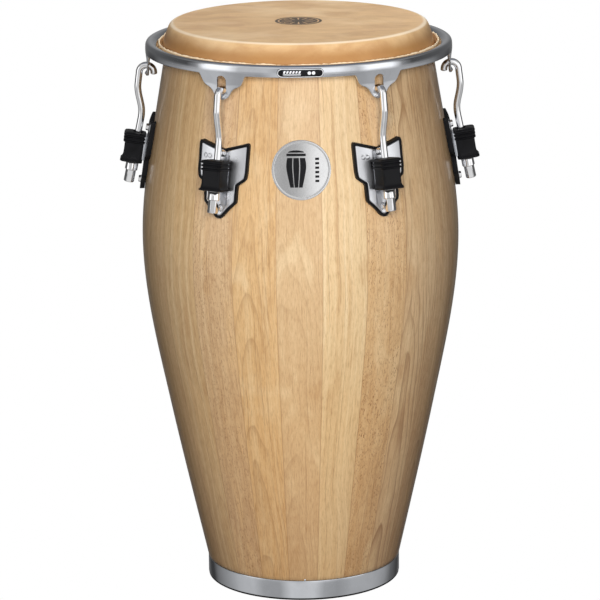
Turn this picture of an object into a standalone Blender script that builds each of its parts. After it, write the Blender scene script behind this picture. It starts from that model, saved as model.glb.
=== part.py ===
"""A conga: a wooden shell glued up from staves, and a skin drawn down over its upper edge by a steel rim.

Six hooks hang from the rim's ears. Each runs down through the arm of a side plate into a nut, and turning
the nuts draws the hooks, the rim and the edge of the skin down together. Metres, +Z up. The origin is the
middle of the foot's underside, and azimuth 0 is the front, on -Y.
"""

import math

import bmesh
import bpy
from mathutils import Matrix, Vector

# Shell. Each knot is (height, outside radius, slope of the radius with height).
SHELL_KNOTS = (
    (0.0, 0.1160, 0.225),
    (0.232, 0.1668, 0.2025),
    (0.443, 0.1974, 0.0),
    (0.575, 0.1824, -0.178),
    (0.690, 0.1630, -0.155),
)
SHELL_WALL = 0.010
SHELL_ROWS = 13
SHELL_SEGMENTS = 48
EDGE_HEIGHT = 0.690  # where the shell's outside starts to round over into the bearing edge
EDGE_CENTRE = 0.150  # radius where the bearing edge ends in the flat top
EDGE_STEPS = 3
SHELL_TOP = 0.7077
EDGE_INSIDE = (0.146, 0.7057)  # the flat top's inner corner, as (radius, height)

# Foot.
FOOT_HEIGHT = 0.0018
FOOT_RADII = (0.1095, 0.1214)
RING_RADIUS = 0.1218
RING_WALL = 0.0022
RING_TOP = 0.0253

# Skin.
HEIGHT = 0.711
SKIN_THICKNESS = 0.0029
SKIN_GAP = 0.0004  # between the skin and the rounded bearing edge
COLLAR_RADIUS = 0.1686
COLLAR_TOP = 0.6865
COLLAR_BOTTOM = 0.678
HOOP_RADII = (0.1755, 0.1825)
HOOP_HEIGHTS = (0.6745, 0.6817)
TUCK_RADII = (0.1690, 0.1842)
TUCK_HEIGHTS = (0.6735, 0.6833)
TUCK_LIP = ((0.1743, 0.6880), (0.1723, 0.6890), (0.1696, 0.6875))  # the edge that stands up inside the rim

# Rim: its closed section as (radius, height), from the inside bottom of the outer wall round to the lip.
RIM_SECTION = (
    (0.1845, 0.6748),
    (0.1886, 0.6748),
    (0.1894, 0.6790),
    (0.1892, 0.6848),
    (0.1878, 0.6880),
    (0.1846, 0.6896),
    (0.1808, 0.6893),
    (0.1772, 0.6873),
    (0.1748, 0.6848),
    (0.1748, 0.6838),
    (0.1845, 0.6838),
)
RIM_SEGMENTS = 72

# Ears of the rim: half of the lower outline as (distance from the middle, height).
EAR_OUTLINE = (
    (0.0, 0.6450),
    (0.0040, 0.6452),
    (0.0074, 0.6470),
    (0.0105, 0.6505),
    (0.0135, 0.6555),
    (0.0175, 0.6590),
    (0.0220, 0.6610),
    (0.0260, 0.6640),
    (0.0285, 0.6685),
    (0.0310, 0.6735),
    (0.0345, 0.6770),
)
EAR_TOP = 0.6795
EAR_RADII = (0.1854, 0.1880)
SLOT_WIDTH = 0.012
SLOT_HEIGHTS = (0.6513, 0.6738)
SLOT_REACH = 0.01  # how far the slot's cutters pass the ear on both sides

# Lugs. The hook's straight lower leg leans out by HOOK_TILT and passes through HOOK_POINT (radius, height).
LUG_AZIMUTHS = tuple(math.radians(30 + 60 * i) for i in range(6))
HOOK_TILT = math.radians(12)
HOOK_POINT = (0.200, 0.575)
ROD_RADIUS = 0.00425
CURL_CENTRE = (0.1884, 0.6490)
CURL_RADIUS = 0.0090
CURL_STEPS = 7
TIP_LENGTH = 0.0010  # straight piece below the curl, at the hook's tip
HOOK_BEND = (
    (0.1986, 0.6400),
    (0.1995, 0.6310),
    (0.1987, 0.6220),
    (0.1968, 0.6125),
    (0.1955, 0.6045),
    (0.1956, 0.5970),
)
LEG_START = 0.018  # along the leg from HOOK_POINT, as are the four heights below
HOOK_END = -0.054
NUT_TOP = -0.0360
NUT_COLLAR_END = -0.0496
NUT_BOTTOM = -0.0649
BORE_RADIUS = 0.0049
NUT_COLLAR_RADIUS = 0.0078
NUT_ACROSS_FLATS = 0.0115

# Sleeve and arm, in a frame that leans out by SLEEVE_TILT about SLEEVE_CENTRE (radius, height).
SLEEVE_TILT = math.radians(9)
SLEEVE_CENTRE = (0.2066, 0.5570)
SLEEVE_HALF = Vector((0.0129, 0.0125, 0.0203))  # across, out, up
SLEEVE_WALL = 0.0045
SLEEVE_BEVEL = 0.0030
SLEEVE_GAP = 0.00035
COLLAR_HOLE = 0.0084
COLLAR_HOLE_DEPTH = 0.003  # above the nut's top
ARM_BORE = 0.0052
BORE_REACH = 0.05
ARM_ROOT_RADIUS = 0.1905

# Side plate and its gasket: half outlines as (distance from the middle, height above the gasket's tip).
PLATE_TIP = 0.5025
PLATE_BOTTOM = (
    (0.0, 0.0),
    (0.0035, 0.0),
    (0.0130, 0.0105),
    (0.0256, 0.0225),
    (0.0260, 0.0400),
    (0.0346, 0.0470),
)
PLATE_TOP = ((0.0, 0.0820), (0.0345, 0.0912))
PLATE_WING = ((0.0346, 0.0470), (0.0358, 0.0560))
PLATE_CORNER = 0.0035  # drop of the wing's outer edge below its upper corner
PLATE_MARGIN = 0.0031  # how far the gasket shows past the plate at the sides
MARGIN_BELOW = 1.25  # the same upright at the slanting lower edges, as a share of PLATE_MARGIN
MARGIN_ABOVE = 1.05
GASKET_THICKNESS = 0.0030
PLATE_THICKNESS = 0.0024
FIT_GAP = 0.0003
PLATE_ROWS = 3
BOLT_HEIGHTS = (0.579, 0.514)
BOLT_RADIUS = 0.0030
BOLT_HOLE_RADIUS = 0.0034
BOLT_HEAD_RADIUS = 0.0048
BOLT_HEAD_HEIGHT = 0.0030
BOLT_REACH = 0.0160  # shank inside the shell's outside surface
HOLE_REACH = 0.03
OVERLAP = 0.001  # by which two shapes that join run into each other
BACKING_HALF_WIDTH = 0.0120
BACKING_HEIGHTS = (0.504, 0.589)
BACKING_THICKNESS = 0.0020
BACKING_GAP = 0.0008
BACKING_ROWS = 2

# Badges.
BADGE_RADIUS = 0.0355
BADGE_HEIGHT = 0.563
BADGE_THICKNESS = 0.0014
BADGE_STEPS = 12
BADGE_END = 0.04  # share of the half turn left out at each side, where the outline would close to a point
RIM_BADGE_HALF = (0.0280, 0.0056)
RIM_BADGE_HEIGHT = 0.6812
RIM_BADGE_RADII = (0.1898, 0.1906)
RIM_BADGE_STEPS = 12
RIM_BADGE_END = 0.01  # share of the width left out at each end

MATERIALS = {
    # name: (base colour, roughness, metallic)
    "lacquered_wood": ((0.62, 0.40, 0.20), 0.25, 0.0),
    "hide": ((0.66, 0.43, 0.22), 0.45, 0.0),
    "hide_edge": ((0.80, 0.62, 0.40), 0.70, 0.0),
    "chrome": ((0.62, 0.63, 0.66), 0.08, 1.0),
    "zinc_steel": ((0.55, 0.57, 0.60), 0.25, 1.0),
    "black_rubber": ((0.012, 0.012, 0.013), 0.55, 0.0),
    "brushed_metal": ((0.66, 0.66, 0.66), 0.30, 1.0),
    "black_enamel": ((0.01, 0.01, 0.012), 0.20, 0.0),
}


def clear_scene():
    for obj in list(bpy.data.objects):
        bpy.data.objects.remove(obj, do_unlink=True)


def make_materials():
    made = {}
    for name, (colour, roughness, metallic) in MATERIALS.items():
        material = bpy.data.materials.new(name)
        material.use_nodes = True
        shader = material.node_tree.nodes["Principled BSDF"]
        shader.inputs["Base Color"].default_value = (*colour, 1.0)
        shader.inputs["Roughness"].default_value = roughness
        shader.inputs["Metallic"].default_value = metallic
        made[name] = material
    return made


def shell_radius(height):
    """Outside radius of the shell: a Hermite curve through SHELL_KNOTS."""
    low, high = SHELL_KNOTS[-2:]
    for first, second in zip(SHELL_KNOTS, SHELL_KNOTS[1:]):
        if height <= second[0]:
            low, high = first, second
            break
    span = high[0] - low[0]
    u = (height - low[0]) / span
    return (
        (2 * u**3 - 3 * u**2 + 1) * low[1]
        + (u**3 - 2 * u**2 + u) * span * low[2]
        + (3 * u**2 - 2 * u**3) * high[1]
        + (u**3 - u**2) * span * high[2]
    )


def shell_tilt(height):
    """Angle by which the shell's surface leans in at a height."""
    step = 0.001
    return math.atan2(shell_radius(height - step) - shell_radius(height + step), 2 * step)


def bearing_edge(radial, rise):
    """Points of the quarter ellipse over the shell's upper edge, from the outside to the top."""
    angles = (math.pi / 2 * i / EDGE_STEPS for i in range(EDGE_STEPS + 1))
    return [(EDGE_CENTRE + radial * math.cos(a), EDGE_HEIGHT + rise * math.sin(a)) for a in angles]


def lug_frame(radius, height, tilt):
    """A frame on the front's middle plane: local Z leans in by the tilt, and local -Y points out."""
    return Matrix.Translation((0, -radius, height)) @ Matrix.Rotation(-tilt, 4, "X")


def shaded(mesh):
    mesh.shade_smooth()
    mesh.set_sharp_from_angle(angle=math.radians(35))
    return mesh


def mesh_of(name, bm):
    bmesh.ops.recalc_face_normals(bm, faces=bm.faces)
    mesh = bpy.data.meshes.new(name)
    bm.to_mesh(mesh)
    bm.free()
    return shaded(mesh)


def place(name, mesh, material, matrix=None):
    """Links a node, made of this mesh and material, at a place given by a rotation and a location."""
    mesh.materials.clear()
    mesh.materials.append(material)
    obj = bpy.data.objects.new(name, mesh)
    bpy.context.scene.collection.objects.link(obj)
    if matrix is not None:
        obj.matrix_world = matrix
    return obj


def spun(name, points, segments, closed=True):
    """Turns a section of (radius, height) points about the Z axis. A closed section makes a ring."""
    bm = bmesh.new()
    verts = [bm.verts.new((0, -radius, height)) for radius, height in points]
    edges = [bm.edges.new(pair) for pair in zip(verts, verts[1:])]
    if closed:
        edges.append(bm.edges.new((verts[-1], verts[0])))
    bmesh.ops.spin(
        bm,
        geom=verts + edges,
        cent=(0, 0, 0),
        axis=(0, 0, 1),
        angle=2 * math.pi,
        steps=segments,
        use_merge=True,
    )
    bmesh.ops.remove_doubles(bm, verts=bm.verts, dist=1e-6)
    return mesh_of(name, bm)


def oblong(inner, outer, low, high):
    """Section of a plain ring, for spun()."""
    return [(inner, low), (outer, low), (outer, high), (inner, high)]


def cylinder(name, radius, low, high, sides, matrix=None):
    """A closed prism along local Z from low to high."""
    bm = bmesh.new()
    bmesh.ops.create_cone(
        bm,
        cap_ends=True,
        segments=sides,
        radius1=radius,
        radius2=radius,
        depth=high - low,
        matrix=(matrix or Matrix()) @ Matrix.Translation((0, 0, (low + high) / 2)),
    )
    return mesh_of(name, bm)


def cuboid(name, low, high, matrix=None, bevel=0.0):
    """A closed box between two corners of a local frame, with its edges beveled."""
    bm = bmesh.new()
    size = Vector(high) - Vector(low)
    centre = (Vector(high) + Vector(low)) / 2
    scale = Matrix.Diagonal((*size, 1))
    bmesh.ops.create_cube(bm, size=1, matrix=Matrix.Translation(centre) @ scale)
    if bevel:
        bmesh.ops.bevel(bm, geom=bm.edges[:], offset=bevel, segments=1, affect="EDGES")
    bmesh.ops.transform(bm, matrix=matrix or Matrix(), verts=bm.verts)
    return mesh_of(name, bm)


def combined(mesh, tools, operation):
    """The mesh after an exact Boolean with each tool, which are used up."""
    base = bpy.data.objects.new("base", mesh)
    bpy.context.scene.collection.objects.link(base)
    helpers = []
    for tool in tools:
        helper = bpy.data.objects.new("tool", tool)
        bpy.context.scene.collection.objects.link(helper)
        helpers.append(helper)
        modifier = base.modifiers.new("combine", "BOOLEAN")
        modifier.object = helper
        modifier.operation = operation
        modifier.solver = "EXACT"
    bpy.context.view_layer.update()
    evaluated = base.evaluated_get(bpy.context.evaluated_depsgraph_get())
    result = bpy.data.meshes.new_from_object(evaluated)
    result.name = mesh.name
    for obj in [base, *helpers]:
        bpy.data.objects.remove(obj, do_unlink=True)
    return shaded(result)


def wrapped(name, columns, inner, outer, rows=1):
    """A plate bent round the Z axis.

    Each column is (distance from the middle, lowest height, highest height). inner and outer give the
    radii of its two faces at a height.
    """
    bm = bmesh.new()
    faces = {}
    for side, radius_at in (("inner", inner), ("outer", outer)):
        for i, (across, low, high) in enumerate(columns):
            for j in range(rows + 1):
                height = low + (high - low) * j / rows
                angle = across / outer(height)
                radius = radius_at(height)
                faces[side, i, j] = bm.verts.new((radius * math.sin(angle), -radius * math.cos(angle), height))
    last = len(columns) - 1
    for i in range(last):
        for j in range(rows):
            for side in ("inner", "outer"):
                corners = [(i, j), (i + 1, j), (i + 1, j + 1), (i, j + 1)]
                bm.faces.new([faces[side, *corner] for corner in corners])
    border = [(i, 0) for i in range(last)] + [(last, j) for j in range(rows)]
    border += [(i, rows) for i in range(last, 0, -1)] + [(0, j) for j in range(rows, 0, -1)]
    for first, second in zip(border, border[1:] + border[:1]):
        ring = [("inner", first), ("inner", second), ("outer", second), ("outer", first)]
        bm.faces.new([faces[side, *corner] for side, corner in ring])
    return mesh_of(name, bm)


def on_outline(points, x):
    """Height of an outline at x, by straight lines between its points."""
    for (x0, y0), (x1, y1) in zip(points, points[1:]):
        if x <= x1:
            return y0 + (y1 - y0) * (x - x0) / (x1 - x0)
    return points[-1][1]


def mirrored(half):
    """The distances of half an outline, and of its mirror image, from left to right."""
    return [-x for x in reversed(half) if x > 0] + list(half)


def smooth_path(points, steps):
    """Points of a Catmull-Rom curve through the given points."""
    padded = [2 * points[0] - points[1], *points, 2 * points[-1] - points[-2]]
    path = []
    for a, b, c, d in zip(padded, padded[1:], padded[2:], padded[3:]):
        for i in range(steps):
            u = i / steps
            square = 2 * a - 5 * b + 4 * c - d
            cube = 3 * b - a - 3 * c + d
            path.append((2 * b + (c - a) * u + square * u**2 + cube * u**3) / 2)
    return path + [points[-1]]


def make_shell():
    """The glued staves: a barrel with a rebate for the foot ring and a rounded bearing edge."""
    rebate = RING_RADIUS - RING_WALL - FIT_GAP
    bottom = FOOT_HEIGHT + FIT_GAP
    step = RING_TOP + FIT_GAP
    heights = [step + (EDGE_HEIGHT - step) * i / SHELL_ROWS for i in range(SHELL_ROWS)]
    outside = [(rebate, bottom), (rebate, step)] + [(shell_radius(z), z) for z in heights]
    edge = bearing_edge(shell_radius(EDGE_HEIGHT) - EDGE_CENTRE, SHELL_TOP - EDGE_HEIGHT)
    inside = [(shell_radius(z) - SHELL_WALL, z) for z in reversed(heights)]
    inside[-1] = (rebate - SHELL_WALL, bottom)
    section = outside + edge + [EDGE_INSIDE] + inside
    mesh = spun("shell", section, SHELL_SEGMENTS)
    return combined(mesh, bolt_tools(all_round=True), "DIFFERENCE")


def bolt_frame(height):
    """Frame of a bolt: local Z points straight out of the shell's surface."""
    tilt = shell_tilt(height)
    return lug_frame(shell_radius(height), height, tilt) @ Matrix.Rotation(math.pi / 2, 4, "X")


def bolt_tools(all_round=False):
    """Cutters for the holes of a lug's two bolts, or of all six lugs' bolts."""
    turns = [Matrix.Rotation(a, 4, "Z") for a in LUG_AZIMUTHS] if all_round else [Matrix()]
    return [
        cylinder("hole", BOLT_HOLE_RADIUS, -HOLE_REACH, HOLE_REACH, 12, turn @ bolt_frame(height))
        for turn in turns
        for height in BOLT_HEIGHTS
    ]


def make_foot():
    ring_low = FOOT_HEIGHT + FIT_GAP
    inner = RING_RADIUS - RING_WALL
    rubber = oblong(*FOOT_RADII, 0, FOOT_HEIGHT)
    ring = oblong(inner, RING_RADIUS, ring_low, RING_TOP)
    return spun("foot_rubber", rubber, SHELL_SEGMENTS), spun("foot_ring", ring, SHELL_SEGMENTS)


def make_skin():
    """The skin as far as it lies on the shell: the playing face, the shoulder and the collar."""
    inner_radial = shell_radius(EDGE_HEIGHT) - EDGE_CENTRE + SKIN_GAP
    inner_rise = HEIGHT - SKIN_THICKNESS - EDGE_HEIGHT
    outer = bearing_edge(inner_radial + SKIN_THICKNESS, HEIGHT - EDGE_HEIGHT)
    inner = bearing_edge(inner_radial, inner_rise)
    collar = [
        (COLLAR_RADIUS, COLLAR_TOP),
        (COLLAR_RADIUS, COLLAR_BOTTOM),
        (COLLAR_RADIUS - SKIN_THICKNESS + FIT_GAP, COLLAR_BOTTOM),
    ]
    section = [(0, HEIGHT)] + outer[::-1] + collar + inner + [(0, HEIGHT - SKIN_THICKNESS)]
    return spun("drum_skin", section, SHELL_SEGMENTS, closed=False)


def make_tuck():
    """The edge of the skin, rolled over the hoop and open below where the hoop goes in."""
    groove = (HOOP_RADII[0] - FIT_GAP, HOOP_RADII[1] + FIT_GAP)
    groove_top = HOOP_HEIGHTS[1] + FIT_GAP
    low, high = TUCK_HEIGHTS
    section = [
        (TUCK_RADII[0], low),
        (groove[0], low),
        (groove[0], groove_top),
        (groove[1], groove_top),
        (groove[1], low),
        (TUCK_RADII[1], low),
        (TUCK_RADII[1], high),
        (TUCK_LIP[0][0], high),
        *TUCK_LIP,
    ]
    return spun("skin_edge", section, SHELL_SEGMENTS)


def make_hoop():
    return spun("flesh_hoop", oblong(*HOOP_RADII, *HOOP_HEIGHTS), SHELL_SEGMENTS)


def make_rim():
    """The steel rim, with an ear for each hook and a slot in each ear."""
    columns = [(x, on_outline(EAR_OUTLINE, abs(x)), EAR_TOP) for x in mirrored([x for x, _ in EAR_OUTLINE])]
    inner, outer = EAR_RADII
    half = SLOT_WIDTH / 2
    low, high = SLOT_HEIGHTS
    middle = lug_frame((inner + outer) / 2, 0, 0)
    across = middle @ Matrix.Rotation(math.pi / 2, 4, "X")
    ears = []
    slots = []
    for azimuth in LUG_AZIMUTHS:
        turn = Matrix.Rotation(azimuth, 4, "Z")
        ear = wrapped("ear", columns, lambda _: inner, lambda _: outer, rows=2)
        ear.transform(turn)
        ears.append(ear)
        for height in (low + half, high - half):
            end = turn @ across @ Matrix.Translation((0, height, 0))
            slots.append(cylinder("slot_end", half, -SLOT_REACH, SLOT_REACH, 16, end))
        corners = ((-half, -SLOT_REACH, low + half), (half, SLOT_REACH, high - half))
        slots.append(cuboid("slot", *corners, matrix=turn @ middle))
    ring = spun("rim", RIM_SECTION, RIM_SEGMENTS)
    return combined(combined(ring, ears, "UNION"), slots, "DIFFERENCE")


def hook_path():
    """Middle line of a hook in its own frame, from the tip over the curl and down to the end of the leg."""
    centre = Vector((0, *CURL_CENTRE))
    ends = [math.pi * (1 - i / CURL_STEPS) for i in range(CURL_STEPS + 1)]
    curl = [centre + CURL_RADIUS * Vector((0, math.cos(a), math.sin(a))) for a in ends]
    tip = curl[0] - Vector((0, 0, TIP_LENGTH))
    bend = [Vector((0, radius, height)) for radius, height in HOOK_BEND]
    to_world = Matrix(((1, 0, 0, 0), (0, -1, 0, 0), (0, 0, 1, 0), (0, 0, 0, 1)))
    to_local = lug_frame(*HOOK_POINT, HOOK_TILT).inverted() @ to_world
    curved = smooth_path([to_local @ p for p in [curl[-1], *bend]] + [Vector((0, 0, LEG_START))], 2)
    return [to_local @ p for p in [tip, *curl[:-1]]] + curved + [Vector((0, 0, HOOK_END))]


def make_hook():
    curve = bpy.data.curves.new("tuning_hook", "CURVE")
    curve.dimensions = "3D"
    curve.bevel_depth = ROD_RADIUS
    curve.bevel_resolution = 2
    curve.use_fill_caps = True
    path = hook_path()
    spline = curve.splines.new("POLY")
    spline.points.add(len(path) - 1)
    for point, place_on_path in zip(spline.points, path):
        point.co = (*place_on_path, 1)
    return curve


def make_nut():
    """A long hexagonal nut with a round collar that bears on the arm."""
    hex_radius = NUT_ACROSS_FLATS / 2 / math.cos(math.pi / 6)
    collar = cylinder("tuning_nut", NUT_COLLAR_RADIUS, NUT_COLLAR_END, NUT_TOP, 20)
    body = cylinder("hex", hex_radius, NUT_BOTTOM, NUT_COLLAR_END + OVERLAP, 6)
    bore = cylinder("bore", BORE_RADIUS, NUT_BOTTOM - OVERLAP, NUT_TOP + OVERLAP, 12)
    return combined(combined(collar, [body], "UNION"), [bore], "DIFFERENCE")


def hook_bore(radius, low, high):
    return cylinder("bore", radius, low, high, 16, lug_frame(*HOOK_POINT, HOOK_TILT))


def sleeve_frame():
    return lug_frame(*SLEEVE_CENTRE, SLEEVE_TILT)


def make_sleeve():
    """The rubber sleeve: open towards the plate, where it slides over the arm."""
    across, out, up = SLEEVE_HALF
    wall = SLEEVE_WALL - SLEEVE_GAP
    block = cuboid("rubber_sleeve", -SLEEVE_HALF, SLEEVE_HALF, sleeve_frame(), SLEEVE_BEVEL)
    cavity = cuboid(
        "cavity", (wall - across, wall - out, wall - up), (across - wall, out + 0.01, up - wall), sleeve_frame()
    )
    rod = hook_bore(ARM_BORE, -BORE_REACH, BORE_REACH)
    collar = hook_bore(COLLAR_HOLE, NUT_COLLAR_END, NUT_TOP + COLLAR_HOLE_DEPTH)
    return combined(block, [cavity, rod, collar], "DIFFERENCE")


def plate_columns(margin):
    """Columns of the plate's outline, drawn in by a margin from the gasket's."""
    columns = []
    halves = [x for x, _ in PLATE_BOTTOM] + [PLATE_WING[1][0]]
    widest = halves[-1]
    for x in mirrored(halves):
        low = on_outline(PLATE_BOTTOM + PLATE_WING[1:], abs(x))
        high = on_outline(PLATE_TOP, abs(x))
        if abs(x) == widest:
            high -= PLATE_CORNER
        low += PLATE_TIP + margin * MARGIN_BELOW
        high += PLATE_TIP - margin * MARGIN_ABOVE
        columns.append((x * (1 - margin / widest), low, high))
    return columns


def make_gasket():
    outer = FIT_GAP + GASKET_THICKNESS
    mesh = wrapped(
        "plate_gasket",
        plate_columns(0),
        lambda z: shell_radius(z) + FIT_GAP,
        lambda z: shell_radius(z) + outer,
        PLATE_ROWS,
    )
    return combined(mesh, bolt_tools(), "DIFFERENCE")


def make_plate():
    """The side plate with its welded arm, which the hook passes through."""
    inner = 2 * FIT_GAP + GASKET_THICKNESS
    outer = inner + PLATE_THICKNESS
    mesh = wrapped(
        "side_plate",
        plate_columns(PLATE_MARGIN),
        lambda z: shell_radius(z) + inner,
        lambda z: shell_radius(z) + outer,
        PLATE_ROWS,
    )
    half = SLEEVE_HALF - Vector((SLEEVE_WALL, SLEEVE_WALL, SLEEVE_WALL))
    root = SLEEVE_CENTRE[0] - ARM_ROOT_RADIUS
    arm = cuboid("arm", -half, (half.x, root, half.z), sleeve_frame())
    mesh = combined(mesh, [arm], "UNION")
    return combined(mesh, [*bolt_tools(), hook_bore(ARM_BORE, -BORE_REACH, BORE_REACH)], "DIFFERENCE")


def make_bolt(height):
    """A round-headed bolt through plate, gasket and shell into the backing plate."""
    frame = bolt_frame(height)
    under_head = 3 * FIT_GAP + GASKET_THICKNESS + PLATE_THICKNESS
    head = cylinder("plate_bolt", BOLT_HEAD_RADIUS, under_head, under_head + BOLT_HEAD_HEIGHT, 12, frame)
    shank = cylinder("shank", BOLT_RADIUS, -BOLT_REACH, under_head + OVERLAP, 8, frame)
    return combined(head, [shank], "UNION")


def make_backing():
    """The steel strip inside the shell that both bolts of a lug screw into."""
    low, high = BACKING_HEIGHTS
    outer = SHELL_WALL + BACKING_GAP
    mesh = wrapped(
        "backing_plate",
        [(x * BACKING_HALF_WIDTH, low, high) for x in (-1, 0, 1)],
        lambda z: shell_radius(z) - outer - BACKING_THICKNESS,
        lambda z: shell_radius(z) - outer,
        BACKING_ROWS,
    )
    return combined(mesh, bolt_tools(), "DIFFERENCE")


def make_shell_badge():
    """The round badge, bent to the shell."""
    columns = []
    for i in range(BADGE_STEPS + 1):
        angle = math.pi * (BADGE_END + (1 - 2 * BADGE_END) * i / BADGE_STEPS)
        rise = BADGE_RADIUS * math.sin(angle)
        columns.append((-BADGE_RADIUS * math.cos(angle), BADGE_HEIGHT - rise, BADGE_HEIGHT + rise))
    return wrapped(
        "shell_badge",
        columns,
        lambda z: shell_radius(z) + FIT_GAP,
        lambda z: shell_radius(z) + FIT_GAP + BADGE_THICKNESS,
        PLATE_ROWS,
    )


def make_rim_badge():
    """The small plate with round ends on the front of the rim."""
    half_width, half_height = RIM_BADGE_HALF
    straight = half_width - half_height
    columns = []
    for i in range(RIM_BADGE_STEPS + 1):
        x = half_width * (1 - 2 * RIM_BADGE_END) * (2 * i / RIM_BADGE_STEPS - 1)
        beyond = max(0, abs(x) - straight)
        rise = math.sqrt(half_height**2 - beyond**2)
        columns.append((x, RIM_BADGE_HEIGHT - rise, RIM_BADGE_HEIGHT + rise))
    inner, outer = RIM_BADGE_RADII
    return wrapped("rim_badge", columns, lambda _: inner, lambda _: outer)


def place_lugs(materials):
    """Six copies of each piece of a lug. Hooks and nuts have their origins on the hook's leg."""
    standing = {
        "rubber_sleeve": (make_sleeve(), "black_rubber"),
        "side_plate": (make_plate(), "chrome"),
        "plate_gasket": (make_gasket(), "black_rubber"),
        "plate_bolt_upper": (make_bolt(BOLT_HEIGHTS[0]), "zinc_steel"),
        "plate_bolt_lower": (make_bolt(BOLT_HEIGHTS[1]), "zinc_steel"),
        "backing_plate": (make_backing(), "zinc_steel"),
    }
    moving = {
        "tuning_hook": (make_hook(), "chrome"),
        "tuning_nut": (make_nut(), "zinc_steel"),
    }
    on_leg = lug_frame(*HOOK_POINT, HOOK_TILT)
    for number, azimuth in enumerate(LUG_AZIMUTHS, start=1):
        turn = Matrix.Rotation(azimuth, 4, "Z")
        for name, (mesh, material) in standing.items():
            place(f"{name}_{number}", mesh, materials[material], turn)
        for name, (mesh, material) in moving.items():
            place(f"{name}_{number}", mesh, materials[material], turn @ on_leg)


def main():
    clear_scene()
    materials = make_materials()
    foot_rubber, foot_ring = make_foot()
    place("shell", make_shell(), materials["lacquered_wood"])
    place("foot_rubber", foot_rubber, materials["black_rubber"])
    place("foot_ring", foot_ring, materials["chrome"])
    place("drum_skin", make_skin(), materials["hide"])
    place("skin_edge", make_tuck(), materials["hide_edge"])
    place("flesh_hoop", make_hoop(), materials["zinc_steel"])
    place("rim", make_rim(), materials["chrome"])
    place("shell_badge", make_shell_badge(), materials["brushed_metal"])
    place("rim_badge", make_rim_badge(), materials["black_enamel"])
    place_lugs(materials)


main()
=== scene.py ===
"""The looks of a conga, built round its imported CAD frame.

The CAD says where everything is. Here each node gets its finished surface: a shell of lacquered staves, a
natural hide, a chromed rim with its hooks and side plates, rubber sleeves and brushed badges. Metres, +Z up.
Azimuth 0 is the front, on -Y. Colours are linear.
"""

import math

import bmesh
import bpy
import numpy as np
from mathutils import Matrix, Vector, geometry, noise


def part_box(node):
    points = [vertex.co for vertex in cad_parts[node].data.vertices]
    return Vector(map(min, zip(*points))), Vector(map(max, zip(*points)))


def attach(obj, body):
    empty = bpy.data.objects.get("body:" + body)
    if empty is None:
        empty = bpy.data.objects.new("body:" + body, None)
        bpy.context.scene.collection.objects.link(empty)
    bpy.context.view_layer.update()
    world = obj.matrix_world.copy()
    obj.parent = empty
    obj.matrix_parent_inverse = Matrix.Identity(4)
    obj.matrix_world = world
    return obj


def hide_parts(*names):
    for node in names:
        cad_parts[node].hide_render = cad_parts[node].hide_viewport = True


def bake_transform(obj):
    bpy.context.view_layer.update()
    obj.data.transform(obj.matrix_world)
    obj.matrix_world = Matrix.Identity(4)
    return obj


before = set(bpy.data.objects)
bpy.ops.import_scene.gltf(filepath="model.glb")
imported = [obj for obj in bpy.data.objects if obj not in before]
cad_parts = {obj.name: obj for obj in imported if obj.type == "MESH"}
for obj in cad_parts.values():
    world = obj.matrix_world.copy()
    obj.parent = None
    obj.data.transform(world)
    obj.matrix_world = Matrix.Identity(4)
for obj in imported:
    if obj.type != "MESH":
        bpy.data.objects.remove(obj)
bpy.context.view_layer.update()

# Shell. Each knot is (height, outside radius, slope of the radius with height).
SHELL_KNOTS = (
    (0.0, 0.1160, 0.225), (0.232, 0.1668, 0.2025), (0.443, 0.1974, 0.0),
    (0.575, 0.1824, -0.178), (0.690, 0.1630, -0.155),
)
SHELL_WALL = 0.010
EDGE_HEIGHT = 0.690
EDGE_CENTRE = 0.150
SHELL_TOP = 0.7077
STAVES = 22
STAVE_START = math.radians(-9.2)  # azimuth of the joint just left of the front

# Foot.
FOOT_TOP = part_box("foot_rubber")[1].z
FOOT_RADII = (0.1095, 0.1214)
FOOT_GAP = 0.0003
FOOT_ROUNDING = 0.0007
RING_RADIUS = 0.1218
RING_WALL = 0.0022
RING_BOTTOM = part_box("foot_ring")[0].z
RING_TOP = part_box("foot_ring")[1].z
PIN_HEIGHT = 0.0268
PIN_RADIUS = 0.0014
PIN_RISE = 0.0009
PIN_DEPTH = 0.0008

# Skin. The shoulder and the collar are (radius, height) points, from the playing face down.
HEAD_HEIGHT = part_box("drum_skin")[1].z
SKIN_THICKNESS = 0.0029
SHOULDER = (
    (0.1500, 0.7110), (0.1535, 0.7110), (0.1563, 0.7104), (0.1586, 0.7089), (0.1603, 0.7064),
    (0.1620, 0.7022), (0.1639, 0.6970), (0.1657, 0.6915), (0.1669, 0.6874),
)
COLLAR = ((0.1674, 0.6856), (0.1684, 0.6810), (0.1687, 0.6780), (0.1682, 0.6765), (0.1664, 0.6765))
# The tuck's section, from inside the skin round the hoop to the foot of the cut lip.
TUCK = (
    (0.1692, 0.6742), (0.1752, 0.6742), (0.1752, 0.6820), (0.1828, 0.6820), (0.1828, 0.6742),
    (0.1841, 0.6744), (0.1842, 0.6832), (0.1750, 0.6832), (0.1738, 0.6838),
)
LIP_RADIUS = 0.1722
LIP_TOP = 0.6884
TUCK_STEPS = 540
PRINT_RADIUS = 0.029

# Rim. The ear is the right half of its outline, as (distance from the middle, height).
RIM_BOTTOM = 0.6748
EAR_OUTLINE = (
    (0.0, 0.6450), (0.0040, 0.6452), (0.0074, 0.6470), (0.0105, 0.6505), (0.0135, 0.6555), (0.0175, 0.6590),
    (0.0220, 0.6610), (0.0260, 0.6640), (0.0285, 0.6685), (0.0310, 0.6735), (0.0345, 0.6770),
)
EAR_RADII = (0.1854, 0.1880)
SLOT_WIDTH = 0.012
SLOT_HEIGHTS = (0.6513, 0.6738)
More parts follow.
